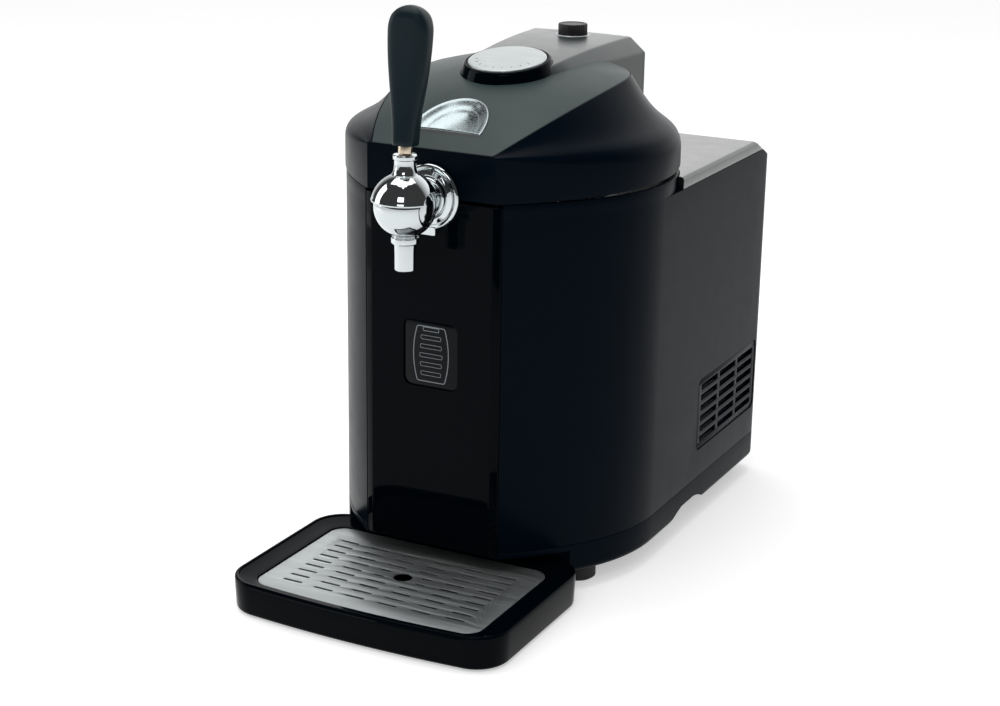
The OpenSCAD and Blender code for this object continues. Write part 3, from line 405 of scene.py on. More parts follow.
def make_camera():
    forward = Vector((-sin(YAW) * cos(PITCH), cos(YAW) * cos(PITCH), -sin(PITCH)))
    level = Vector((cos(YAW), sin(YAW), 0))
    up = level.cross(forward)
    right = cos(ROLL) * level + sin(ROLL) * up
    top = -sin(ROLL) * level + cos(ROLL) * up
    data = bpy.data.cameras.new("camera")
    data.lens, data.sensor_width = 70.83, 36.0
    data.clip_start, data.clip_end = 0.05, 50
    camera = bpy.data.objects.new("camera", data)
    scene.collection.objects.link(camera)
    turn = Matrix((right, top, -forward)).transposed()
    camera.matrix_world = Matrix.Translation(CAMERA_AT) @ turn.to_4x4()
    scene.camera = camera


FLOOR_GREY = 0.86
FLOOR_LIFT = 0.42                    # added where the camera and metal see the floor
FILL, FRONT_DIM, BACKDROP = 0.60, 0.06, 1.50


def sees_background(tree):
    """1 for camera, glossy and transmission rays."""
    path = add(tree, "LightPath")
    first, second = add(tree, "Math"), add(tree, "Math")
    first.operation = second.operation = "MAXIMUM"
    tree.links.new(path.outputs["Is Camera Ray"], first.inputs[0])
    tree.links.new(path.outputs["Is Glossy Ray"], first.inputs[1])
    tree.links.new(first.outputs[0], second.inputs[0])
    tree.links.new(path.outputs["Is Transmission Ray"], second.inputs[1])
    return second.outputs[0], path


def make_floor():
    floor = new_object("floor", bpy.data.meshes.new("floor"))
    reach = 12.0
    floor.data.from_pydata([(-reach, -reach, 0), (reach, -reach, 0), (reach, reach, 0), (-reach, reach, 0)],
                           [], [(0, 1, 2, 3)])
    material = bpy.data.materials.new("floor")
    material.use_nodes = True
    tree = material.node_tree
    tree.nodes.clear()
    out = add(tree, "OutputMaterial")
    diffuse = add(tree, "BsdfDiffuse")
    put(diffuse, "Color", (FLOOR_GREY, FLOOR_GREY, FLOOR_GREY, 1))
    glow = add(tree, "Emission")
    total = add(tree, "AddShader")
    lift = add(tree, "Math")
    lift.operation = "MULTIPLY"
    lift.inputs[1].default_value = FLOOR_LIFT
    seen, _ = sees_background(tree)
    tree.links.new(seen, lift.inputs[0])
    tree.links.new(lift.outputs[0], glow.inputs["Strength"])
    tree.links.new(diffuse.outputs[0], total.inputs[0])
    tree.links.new(glow.outputs[0], total.inputs[1])
    tree.links.new(total.outputs[0], out.inputs["Surface"])
    floor.data.materials.append(material)


def make_world():
    """White for the camera; for reflections a bright backdrop behind and dim surroundings in front."""
    world = bpy.data.worlds.new("studio")
    scene.world = world
    world.use_nodes = True
    tree = world.node_tree
    background = tree.nodes["Background"]
    put(background, "Color", (1, 1, 1, 1))
    coords = add(tree, "TexCoord")
    parts = add(tree, "SeparateXYZ")
    tree.links.new(coords.outputs["Generated"], parts.inputs["Vector"])
    backdrop = ranged(tree, parts.outputs["Y"], FRONT_DIM, BACKDROP, 0.30, 0.86)
    path = add(tree, "LightPath")
    glossy, pick = add(tree, "Mix"), add(tree, "Mix")
    glossy.data_type = pick.data_type = "FLOAT"
    tree.links.new(path.outputs["Is Glossy Ray"], glossy.inputs["Factor"])
    put(glossy, "A", FILL)
    tree.links.new(backdrop, glossy.inputs["B"])
    tree.links.new(path.outputs["Is Camera Ray"], pick.inputs["Factor"])
    tree.links.new(glossy.outputs["Result"], pick.inputs["A"])
    put(pick, "B", 1.0)
    tree.links.new(pick.outputs["Result"], background.inputs["Strength"])


def softbox(name, at, target, size, power):
    data = bpy.data.lights.new(name, "AREA")
    data.shape = "RECTANGLE"
    data.size, data.size_y = size
    data.energy = power
    light = bpy.data.objects.new(name, data)
    scene.collection.objects.link(light)
    light.location = at
    light.rotation_euler = (Vector(target) - Vector(at)).to_track_quat("-Z", "Y").to_euler()


make_camera()
make_floor()
make_world()
softbox("top_light", (-0.3, 0.1, 2.1), (0, 0, 0.2), (1.6, 1.6), 20)
softbox("left_light", (-1.7, -0.5, 0.9), (0, 0, 0.25), (0.8, 1.5), 9)
softbox("front_light", (0.5, -2.3, 1.7), (0, 0, 0.2), (0.9, 0.7), 6)

# --- cabinet


def slope_cutter(down=0.0):
    """Everything over the sloping rear edge, lowered by down."""
    turn = Matrix.Translation((0, SLOPE_Y, COVER_Z - down)) @ Matrix.Rotation(-SLOPE, 4, "X")
    box = solid_box("slope", (-0.2, 0, 0), (0.2, 0.12, 0.08))
    box.data.transform(turn)
    return box


def prism(name, outline, z0, z1):
    return loft(name, [at_z(outline, z0), at_z(outline, z1)])


def x_prism(name, loop, x0, x1):
    """Loop of (y, z) points run along x."""
    return loft(name, [[(x, y, z) for y, z in loop] for x in (x0, x1)])


EDGE = 0.5 * MM                      # rounding of moulded edges
VENT = (94 * MM, 232 * MM, 65 * MM, 129 * MM)
VENT_COLUMNS, VENT_ROWS = 3, 6
GRILLE_HALF, GRILLE_Z = 92 * MM, (58 * MM, 196 * MM)
GRILLE_COLUMNS, GRILLE_ROWS = 4, 11


def vent_loop(grow, r):
    y0, y1, z0, z1 = VENT
    return [((y0 + y1) / 2 + y, (z0 + z1) / 2 + z)
            for y, z in rounded_rect(y1 - y0 + 2 * grow, z1 - z0 + 2 * grow, r)]


def shell_side(t):
    """Right side of the shell with its rounded shoulder and the flat recess for the panel."""
    y = RECESS_Y + t
    if t:
        return [(SHOULDER_W - 4 * MM, y), (SHOULDER_W - 3 * MM, y), (SHOULDER_W - 2 * MM, y),
            (SHOULDER_W - 1 * MM, y),
                (SHOULDER_W, y)] + front_side(t, y)
    first = front_side(0, SHOULDER_Y + 0.35 * MM)
    start = Vector(first[0])
    return [(SHOULDER_W, RECESS_Y), (SHOULDER_W, SHOULDER_Y + 1.6 * MM),
        (SHOULDER_W + 0.05 * MM, SHOULDER_Y + 1.0 * MM),
            (start.x - 0.75 * MM, start.y + 0.30 * MM), (start.x - 0.35 * MM, start.y + 0.06 * MM)] + first


def shell_ring(z, tail):
    return at_z(both(shell_side(0) + tail(0)), z)


def pulled_in(ring, t):
    """The ring moved inwards by about t, for a rounded edge."""
    cx, cy = 0.0, 40 * MM
    out = []
    for x, y, z in ring:
        d = hypot(x - cx, y - cy)
        out.append((x - (x - cx) / d * t, y - (y - cy) / d * t, z))
    return out


def make_shell():
    low = [pulled_in(shell_ring(SEAM_Z + dz, box_tail), t)
           for t, dz in ((0.45 * MM, 0.1 * MM), (0.12 * MM, 0.22 * MM), (0, 0.55 * MM))]
    side = [shell_ring(z, box_tail) for z in (0.12, 0.2, 0.28, COVER_SEAM_Z - 0.5 * MM)]
    ledge = [pulled_in(shell_ring(COVER_SEAM_Z, box_tail), 0.05 * MM)]
    top = [shell_ring(z, round_tail) for z in (COVER_SEAM_Z, 0.310, TOP_Z - EDGE)]
    lip = [pulled_in(shell_ring(TOP_Z - dz, round_tail), t) for t,
        dz in ((0.15 * MM, 0.15 * MM), (0.5 * MM, 0))]
    outer = loft("shell", low + side + ledge + top + lip)
    inner_low = loft("hollow", [at_z(both(shell_side(WALL) + box_tail(WALL)), z) for z in (0.03, 0.300)])
    inner_top = loft("hollow_top", [at_z(both(shell_side(WALL) + round_tail(WALL)), z) for z in (0.2995,
        0.33)])
    cut(inner_low, slope_cutter(WALL / cos(SLOPE)))
    shank = lathe("bore", [(0, -0.14), (11.8 * MM, -0.14), (11.8 * MM, -0.1), (0, -0.1)], (0, 0, TAP_Z),
        "y", 0, 48)
    grille = solid_box("window", (-GRILLE_HALF + 3 * MM, REAR_Y - 6 * MM, GRILLE_Z[0] + 3 * MM),
                       (GRILLE_HALF - 3 * MM, REAR_Y + 6 * MM, GRILLE_Z[1] - 3 * MM))
    inlet = solid_box("inlet", (-87.1 * MM, REAR_Y - 6 * MM, 221.9 * MM),
        (-52.9 * MM, REAR_Y + 6 * MM, 251.1 * MM))
    vents = [x_prism("vent", vent_loop(0, 6 * MM), s * (HALF_W - 8 * MM),
        s * (HALF_W + 8 * MM)) for s in (-1, 1)]
    cut(outer, inner_low, inner_top, slope_cutter(), shank, grille, inlet, *vents, sharp=28)
    piece(outer, "cabinet", "body_black", "body_shell")


def make_cover():
    """Cover over the squared rear of the cabinet, open round the lid's circle."""
    rings = []
    for t, z in ((0.5, 304.05), (0.12, 304.2), (0, 304.6), (0, 310.6), (0.25, 312.0), (0.9, 313.1),
            (1.9, 313.8), (3.2, 314.0)):
        rings.append(at_z(both(front_side(t * MM, SHOULDER_Y) + box_tail(t * MM)), z * MM))
    cover = loft("cover", rings)
    front = solid_box("front", (-0.2, -0.2, 0.29), (0.2, 40 * MM, 0.33))
    well = lathe("well", [(0, 0.29), (HALF_W + 0.4 * MM, 0.29), (HALF_W + 0.4 * MM, 0.33), (0, 0.33)],
        (0, LID_CY, 0), edge=0)
    cut(cover, front, well, slope_cutter(), sharp=26)
    piece(bevel(cover, 0.5 * MM, 2, 40), "cabinet", "body_black", "rear_top_cover")
    # the cover takes the lighter copy of the black plastic: painted sheen on its top
    cover.data.materials[0] = COVER_PAINTED_SHEEN


def make_vents():
    """Slotted panels in the sides, each slot with a slanted fin behind it."""
    y0, y1, z0, z1 = VENT
    w, h = y1 - y0 - 1.0 * MM, z1 - z0 - 1.0 * MM
    for side, s in (("left", -1), ("right", 1)):
        slots = []
        for c in range(VENT_COLUMNS):
            for r in range(VENT_ROWS):
                cx, cy = (c - 1) * (w - 10 * MM) / VENT_COLUMNS, (r - 2.5) * (h - 7 * MM) / VENT_ROWS
                slots.append([(cx + x, cy + y) for x, y in rounded_rect(36.5 * MM, 5.2 * MM, 0.8 * MM, 3)])
        panel = plate("vent_" + side, [rounded_rect(w, h, 5.5 * MM)] + slots, 3.0 * MM, 0.25 * MM,
                      facing(s * (HALF_W - 2.1 * MM), (y0 + y1) / 2, (z0 + z1) / 2, side))
        piece(panel, "cabinet", "body_black", "side_vent_" + side)
        bm = bmesh.new()
        for r in range(VENT_ROWS):
            zc = (z0 + z1) / 2 + (r - 2.5) * (h - 7 * MM) / VENT_ROWS
            fin = [(HALF_W - 3.8 * MM, zc - 3.4 * MM), (HALF_W - 3.8 * MM, zc - 2.5 * MM),
                   (HALF_W - 9.0 * MM, zc + 1.6 * MM), (HALF_W - 9.0 * MM, zc + 0.7 * MM)]
            rows = [[bm.verts.new((s * x, y, z)) for x, z in fin] for y in (y0 + 3 * MM, y1 - 3 * MM)]
            for i in range(4):
                bm.faces.new((rows[0][i], rows[0][(i + 1) % 4], rows[1][(i + 1) % 4], rows[1][i]))
            bm.faces.new(rows[0])
            bm.faces.new(rows[1])
        piece(from_bmesh(bm, "vent_fins_" + side), "cabinet", "body_black")
    slots = []
    gw, gh = 2 * GRILLE_HALF, GRILLE_Z[1] - GRILLE_Z[0]
    for c in range(GRILLE_COLUMNS):
        for r in range(GRILLE_ROWS):
            cx, cy = (c - 1.5) * (gw - 8 * MM) / GRILLE_COLUMNS, (r - 5) * (gh - 6 * MM) / GRILLE_ROWS
            slots.append([(cx + x, cy + y) for x, y in rounded_rect(40 * MM, 6.5 * MM, 2 * MM, 4)])
    grille = plate("rear_grille_panel", [rounded_rect(gw, gh, 5 * MM)] + slots, 2 * MM, 0.2 * MM,
                   facing(0, REAR_Y - WALL - 1 * MM, sum(GRILLE_Z) / 2, "rear"))
    piece(grille, "cabinet", "body_black", "rear_grille")


def make_base():
    """Base skirt: rounded lower edge, tray bay in front and a hand recess in each side."""
    rings = []
    for i in range(7):
        a = i * pi / 12
        t = 6 * MM * (1 - sin(a))
        rings.append(at_z(box_outline(t, SHOULDER_Y + t), BASE_Z + 6 * MM * (1 - cos(a))))
    rings += [at_z(box_outline(), z) for z in (0.03, SEAM_Z - 0.7 * MM)]
    rings += [at_z(box_outline(t, SHOULDER_Y + t), z) for t,
        z in ((0.12 * MM, SEAM_Z - 0.3 * MM), (0.5 * MM, SEAM_Z - 0.1 * MM))]
    base = loft("base", rings)
    hollow = loft("hollow", [at_z(both(front_side(12 * MM, SHOULDER_Y + 8 * MM) + box_tail(12 * MM)), z)
                             for z in (BASE_Z + WALL, SEAM_Z + 1 * MM)])
    keep = solid_box("keep", (-103.6 * MM, -0.2, 0), (103.6 * MM, -81.4 * MM, 0.06))
    cut(hollow, keep)
    bay = prism("bay", fillet([(-101 * MM, -0.2), (101 * MM, -0.2), (101 * MM, -84 * MM),
        (-101 * MM, -84 * MM)], 3 * MM, True),
                -0.01, 35 * MM)
    lip = solid_box("lip", (-SHOULDER_W, -0.2, 36.3 * MM), (SHOULDER_W, RECESS_Y, SEAM_Z + 1 * MM))
    slots = [solid_box("slot", (s * 70 * MM - 14 * MM, -85 * MM, BASE_Z + WALL),
                       (s * 70 * MM + 14 * MM, -80.4 * MM, BASE_Z + WALL + 5.6 * MM)) for s in (-1, 1)]
    half, rise, mid = 41 * MM, 11 * MM, 81.6 * MM
    r = (half ** 2 + rise ** 2) / (2 * rise)
    arches = [lathe("arch", [(0, a), (r, a), (r, b), (0, b)], (0, mid, BASE_Z + rise - r), "x", 0, 240)
              for a, b in ((HALF_W - 9 * MM, HALF_W + 11 * MM), (-HALF_W - 11 * MM, -HALF_W + 9 * MM))]
    cut(base, hollow, bay, lip, *slots, *arches, sharp=26)
    piece(base, "cabinet", "body_black", "base_skirt")


PANEL_Z = (36.5 * MM, 314.4 * MM)
WINDOW_Z, WINDOW_W, WINDOW_H = 193 * MM, 47 * MM, 53 * MM


def make_panel():
    gap = 0.3 * MM
    side = fillet([(FRONT_W - 6 * MM, FRONT_Y), (FRONT_W, FRONT_Y), (SHOULDER_W - gap, SHOULDER_Y),
                   (SHOULDER_W - gap, RECESS_Y), (FRONT_W - 6 * MM, RECESS_Y)], 0.9 * MM, steps=5)
    outline = side + [(-x, y) for x, y in reversed(side)]
    rings = []
    for t, z in ((0.4 * MM, PANEL_Z[0]), (0, PANEL_Z[0] + 0.4 * MM), (0, PANEL_Z[1] - 0.4 * MM),
            (0.4 * MM, PANEL_Z[1])):
        rings.append([(x - copysign(min(t, abs(x)), x), max(y, FRONT_Y + t), z) for x, y in outline])
    panel = loft("panel", rings)
    shank = lathe("bore", [(0, -0.15), (11.8 * MM, -0.15), (11.8 * MM, -0.1), (0, -0.1)], (0, 0, TAP_Z),
        "y", 0, 48)
    window = loft("window", [[(x, y, WINDOW_Z + z) for x, z in rounded_rect(WINDOW_W, WINDOW_H, 6.5 * MM)]
                             for y in (FRONT_Y - 1 * MM, FRONT_Y + 3.2 * MM)])
    cut(panel, shank, window, sharp=24)
    piece(panel, "cabinet", "panel_gloss", "front_panel")


def strip(name, loop, width, y0, y1):
    """Thin closed line of the given width, standing from y1 to y0 on the window."""
    pts = [np.array(p) for p in loop]
    bm = bmesh.new()
    count = len(pts)
    rows = []
    for i, p in enumerate(pts):
        d = pts[(i + 1) % count] - pts[i - 1]
        n = np.array((d[1], -d[0])) / np.linalg.norm(d) * width / 2
        a, b = p + n, p - n
        rows.append([bm.verts.new(v) for v in ((a[0], y0, a[1]), (b[0], y0, b[1]), (b[0], y1, b[1]),
            (a[0], y1, a[1]))])
    for i in range(count):
        a, b = rows[i], rows[(i + 1) % count]
        for k in range(4):
            bm.faces.new((a[k], a[(k + 1) % 4], b[(k + 1) % 4], b[k]))
    return from_bmesh(bm, name)


def make_window():
    """Smoked pane, sunk a little, with the lit outline of a small cask and its slats."""
    pane_y = FRONT_Y + 1.0 * MM
    pane = plate("window_pane", [rounded_rect(WINDOW_W - 0.5 * MM, WINDOW_H - 0.5 * MM, 6.2 * MM)], 2 * MM,
        0.35 * MM,
                 facing(0, pane_y + 1 * MM, WINDOW_Z, "front"))
    piece(pane, "cabinet", "window_smoke", "display_window")
    half_w, half_h, bulge = 15.2 * MM, 22 * MM, 3.4 * MM
    right = [(half_w - bulge * (z / half_h) ** 2, z) for z in np.linspace(-half_h, half_h, 17)]
    cask = fillet([(x, WINDOW_Z + z) for x, z in right + [(-x, z) for x, z in reversed(right)]], 2.2 * MM,
        True, 2)
    y0, y1 = pane_y - 0.06 * MM, pane_y + 0.3 * MM
    lines = [strip("cask_line", cask, 0.75 * MM, y0, y1)]
    for i in range(5):
        zc = WINDOW_Z + (1.4 - 7.2 * (i - 2)) * MM - 2.6 * MM
        wide = (19.5 - 1.1 * abs(i - 2)) * MM
        lines.append(strip(f"slat_line_{i}", [(x, zc + z) for x,
            z in rounded_rect(wide, 3.1 * MM, 0.8 * MM, 2)],
                           0.4 * MM, y0, y1))
    lines.append(strip("cap_line", [(x, WINDOW_Z + 19.9 * MM + z) for x,
        z in rounded_rect(13.5 * MM, 2.9 * MM, 0.4 * MM, 1)],
                       0.5 * MM, y0, y1))
    for line in lines:
        piece(line, "cabinet", "line_clear")
        line.data.materials[0] = LAMP_LINE


LAMP_LINE = plastic("lamp_line", (0.17, 0.19, 0.21), 0.3, depth=0.001)

# --- lid

CREASE_Z = 349 * MM
VISOR_FRONT_Z, VISOR_REAR_Z = 352.5 * MM, 390 * MM
VISOR_HALF_W, VISOR_CROWN = 86.2 * MM, 11 * MM
VISOR_BACK_Y, VISOR_WIDE_Y, VISOR_ARC_R = 89 * MM, 12 * MM, 314 * MM
LID_OVER = 0.8 * MM
SEAM_HALF = 0.35 * MM
# Profile of the flank from the upright band to the visor: share of the way in, share of the rise
BELL = ((0.0, -0.36), (0.004, -0.25), (0.022, -0.145), (0.055, -0.06), (0.105, 0.02), (0.17, 0.085),
    (0.26, 0.155),
        (0.36, 0.225), (0.46, 0.305), (0.56, 0.40), (0.66, 0.515), (0.76, 0.645), (0.86, 0.79),
        (0.94, 0.912), (1.0, 1.0))


def visor_w(y):
    if y < VISOR_WIDE_Y:
        return VISOR_HALF_W - VISOR_ARC_R + sqrt(VISOR_ARC_R ** 2 - (y - VISOR_WIDE_Y) ** 2)
    k = (y - VISOR_WIDE_Y) / (VISOR_BACK_Y - VISOR_WIDE_Y)
    return VISOR_HALF_W * max(0.0, 1 - k ** 2.5) ** 0.4


def visor_back(y):
    return max(0.0, (VISOR_BACK_Y - y) / (VISOR_BACK_Y - FRONT_Y))


def visor_edge_z(y):
    return VISOR_REAR_Z - (VISOR_REAR_Z - VISOR_FRONT_Z) * visor_back(y) ** 2.6


def visor_z(x, y):
    w = max(1 * MM, visor_w(y))
    return visor_edge_z(y) + VISOR_CROWN * (1 - visor_back(y) ** 3) * (1 - min(1.0, abs(x) / w) ** 2)


FRONT_STATIONS, BACK_STATIONS = 46, 26
EDGE_YS = ([FRONT_Y + (VISOR_WIDE_Y - FRONT_Y) * i / FRONT_STATIONS for i in range(FRONT_STATIONS + 1)]
           + [VISOR_WIDE_Y + (VISOR_BACK_Y - VISOR_WIDE_Y) * sin(i * pi / 2 / BACK_STATIONS)
              for i in range(1, BACK_STATIONS + 1)])


def lid_base_point(azimuth, t):
    r = HALF_W + LID_OVER - t
    if azimuth < TANGENT:
        return r * cos(azimuth), LID_CY - r * sin(azimuth)
    r = ARC_R + LID_OVER - t
    dx, dy = ARC_CX, ARC_CY - LID_CY
    b = -dx * cos(azimuth) + dy * sin(azimuth)
    k = -b + sqrt(b * b - dx * dx - dy * dy + r * r)
    return k * cos(azimuth), LID_CY - k * sin(azimuth)


def visor_edge(i, t):
    y = EDGE_YS[i]
    w = visor_w(y)
    if y <= VISOR_WIDE_Y:
        return w - t, max(y, FRONT_Y + t)
    k = t / hypot(w, y - VISOR_WIDE_Y)
    return w * (1 - k), y - (y - VISOR_WIDE_Y) * k


def lid_base(i, t):
    if i == 0:
        return FRONT_W - 0.6 * t, FRONT_Y + t
    x, y = visor_edge(i, 0)
    return lid_base_point(atan2(LID_CY - y, max(1e-6, x)), t)


def lid_seam_z(y):
    return 317 * MM + 0.024 * (y - FRONT_Y)


def flank_point(i, f, h, t=0.0):
    bx, by = lid_base(i, t)
    ex, ey = visor_edge(i, t)
    z0, z1 = CREASE_Z - 0.022 * by, visor_edge_z(EDGE_YS[i])
    return bx + (ex - bx) * f, by + (ey - by) * f, z0 + (z1 - z0) * h - 0.5 * t


def mirrored(points):
    return points + [(-x, y, z) for x, y, z in reversed(points) if x > 1e-5]


STATIONS = range(len(EDGE_YS))


def level(t, up):
    return mirrored([(*lid_base(i, t), lid_seam_z(lid_base(i, t)[1]) + up) for i in STATIONS])


def smooth_profile(points, steps=3):
    """More points along a smooth curve through the given ones."""
    pts = np.array(points)
    out = []
    for i in range(len(pts) - 1):
        p0, p1, p2, p3 = pts[max(i - 1, 0)], pts[i], pts[i + 1], pts[min(i + 2, len(pts) - 1)]
        for k in range(steps):
            s = k / steps
            out.append(tuple(0.5 * (2 * p1 + (p2 - p0) * s + (2 * p0 - 5 * p1 + 4 * p2 - p3) * s * s
                                    + (3 * p1 - p0 - 3 * p2 + p3) * s ** 3)))
    return out + [tuple(pts[-1])]


def make_lid():
    rings = [level(t, up) for t, up in ((0.5 * MM, 0), (0.14 * MM, 0.14 * MM), (0, 0.5 * MM))]
    rings += [mirrored([flank_point(i, f, h) for i in STATIONS]) for f, h in smooth_profile(BELL)]
    seat = []
    for t, d in ((SEAM_HALF, 0.15 * MM), (SEAM_HALF * 1.1, 3 * MM), (5 * MM, 3 * MM), (5 * MM, 5.6 * MM)):
        seat.append(mirrored([(*visor_edge(i, t), visor_z(*visor_edge(i, t)) - d) for i in STATIONS]))
    inside = [mirrored([flank_point(i, f, h, WALL) for i in STATIONS]) for f,
        h in smooth_profile(BELL[::-1], 1)]
    lid = loft("lid_bell", rings + seat + inside + [level(WALL, 0)], loop=True, sharp=40)
    shank = lathe("bore", [(0, -0.15), (12 * MM, -0.15), (12 * MM, -0.1), (0, -0.1)], (0, 0, TAP_Z), "y",
        0, 64)
    below = solid_box("below", (-12 * MM, -0.15, 0.3), (12 * MM, -0.1, TAP_Z))
    cut(lid, shank, below, sharp=40)
    piece(lid, "lid", "body_black", "lid_ring")


SCOOP_Y, SCOOP_W, SCOOP_D = -111 * MM, 30 * MM, 41 * MM
SCOOP_MID = SCOOP_Y + 15 * MM


def scoop_plan(grow=0.0, front=0.0):
    """Half-moon with a straight front edge and small rounded corners."""
    w = SCOOP_W + grow
    straight = [(w * i / 10, SCOOP_Y - grow - front) for i in range(-10, 10)]
    bow = [(w * cos(a), SCOOP_Y + (SCOOP_D + grow) * sin(a)) for a in np.linspace(0.0, pi, 60)[:-1]]
    return straight + bow


def scoop_ring(s, d):
    out = []
    for x, y in scoop_plan():
        x, y = x * s, SCOOP_MID + (y - SCOOP_MID) * s
        out.append((x, y, visor_z(x, y) - d))
    return out


def make_visor():
    def ring(t, s, d):
        out = []
        for i in STATIONS:
            x, y = visor_edge(i, t)
            x, y = x * s, -10 * MM + (y + 10 * MM) * s
            out.append((x, y, visor_z(x, y) - d))
        return mirrored(out)
    t = 2 * SEAM_HALF
    rings = [ring(t, s, 2.9 * MM) for s in (0.03, 0.3, 0.6, 0.85, 1)]
    rings += [ring(t, 1, 0.5 * MM), ring(t + 0.12 * MM, 1, 0.18 * MM), ring(t + 0.45 * MM, 1, 0.02 * MM)]
    rings += [ring(t + 0.9 * MM, s, 0) for s in (1, 0.97, 0.93, 0.88, 0.82, 0.75, 0.67, 0.58, 0.48, 0.38,
        0.28, 0.18, 0.08, 0.03)]
    visor = loft("visor", rings, sharp=40)
    hole = prism("hole", scoop_plan(0.25 * MM, 2.3 * MM), 0.33, 0.42)
    cut(visor, hole, sharp=40)
    piece(visor, "lid", "visor_grey", "lid_visor")


def make_scoop():
    steps = ((1.0, 6.0), (1.0, 0.2), (0.994, -0.15), (0.975, -0.35), (0.955, -0.3), (0.93, 0.0),
        (0.89, 0.8), (0.84, 2.0),
             (0.79, 3.0), (0.745, 3.7), (0.715, 3.9), (0.695, 3.95), (0.672, 4.3), (0.63, 5.2),
             (0.56, 6.4), (0.46, 7.3),
             (0.34, 7.9), (0.2, 8.2), (0.05, 8.3))
    under = ((0.05, 10.5), (0.4, 10.0), (0.75, 8.2))
    scoop = loft("scoop", [scoop_ring(s, d * MM) for s, d in under + steps], sharp=50)
    piece(scoop, "lid", "chrome", "finger_scoop")
    scoop.data.materials[0] = SATIN_CHROME
    rows = []
    for y, d in ((SCOOP_Y - 2.35 * MM, 3.0), (SCOOP_Y - 2.35 * MM, 1.5), (SCOOP_Y - 0.25 * MM, 0.9),
            (SCOOP_Y - 0.25 * MM, 3.0)):
        rows.append([(x, y, visor_z(x, y) - d * MM) for x in np.linspace(-SCOOP_W, SCOOP_W, 21)])
    slot = loft("scoop_slot", [list(column) for column in zip(*rows)])
    piece(slot, "lid", "fan_black")


SATIN_CHROME = metal("satin_chrome", (0.36, 0.415, 0.425), 0.26, scale=900, depth=0.0006)

SPINE_Y0, SPINE_Y1, SPINE_Z = -10 * MM, 129 * MM, 406.5 * MM


def spine_section(y, ys, inset, floor):
    f = (y - SPINE_Y0) / (SPINE_Y1 - SPINE_Y0)
    top_w = (35 + 9.5 * f ** 0.75) * MM - inset
    foot_w = (38 + 20.5 * f ** 0.6) * MM - inset
    top_z = SPINE_Z - 7.5 * MM * (1 - f) ** 2.4 - inset
    foot_z = (390.5 + 4.2 * (y / MM + 10) / 20 if y < 10 * MM else 394.7) * MM - inset * 0.5
    half = fillet([(foot_w, floor), (foot_w, foot_z), (top_w, top_z), (top_w * 0.5, top_z + 0.5 * MM),
        (0, top_z + 0.6 * MM)],
                  1.6 * MM, steps=4)
    ring = [(x, ys, z) for x, z in half[:-1]] + [(0, ys, half[-1][1])] + [(-x, ys, z) for x,
        z in reversed(half[:-1])]
    return ring


def make_spine():
    ys = [SPINE_Y0 + (SPINE_Y1 - 2 * MM - SPINE_Y0) * i / 26 for i in range(27)]
    rings = [spine_section(y, y, 0, 352 * MM) for y in ys]
    rings += [spine_section(SPINE_Y1, SPINE_Y1 - (2 - d) * MM, i * MM, 352 * MM)
              for d, i in ((0.6, 0.05), (1.2, 0.3), (1.7, 0.8), (2.0, 1.6))]
    spine = loft("spine", rings, sharp=22)
    piece(spine, "lid", "body_black", "spine_housing")
    # the spine takes the lighter copy of the black plastic: painted sheen on its top
    spine.data.materials[0] = SPINE_PAINTED_SHEEN


# Lighter, coated copy of the lid's black plastic for the spine on top: painted sheen
SPINE_PAINTED_SHEEN = plastic("spine_painted_sheen", (0.016, 0.024, 0.025), 0.34, ior=1.45, grain=2200, depth=0.015,
    coat=0.3)
DISC_AT = (0, -9.9 * MM, 402.2 * MM)
DISC_TURN = Matrix.Rotation(radians(9.7), 3, "X")
KNOB_Y = 109.8 * MM
KNOB_R, KNOB_GROOVES, KNOB_STEPS = 12.2, 36, 180    # the radius is in millimetres


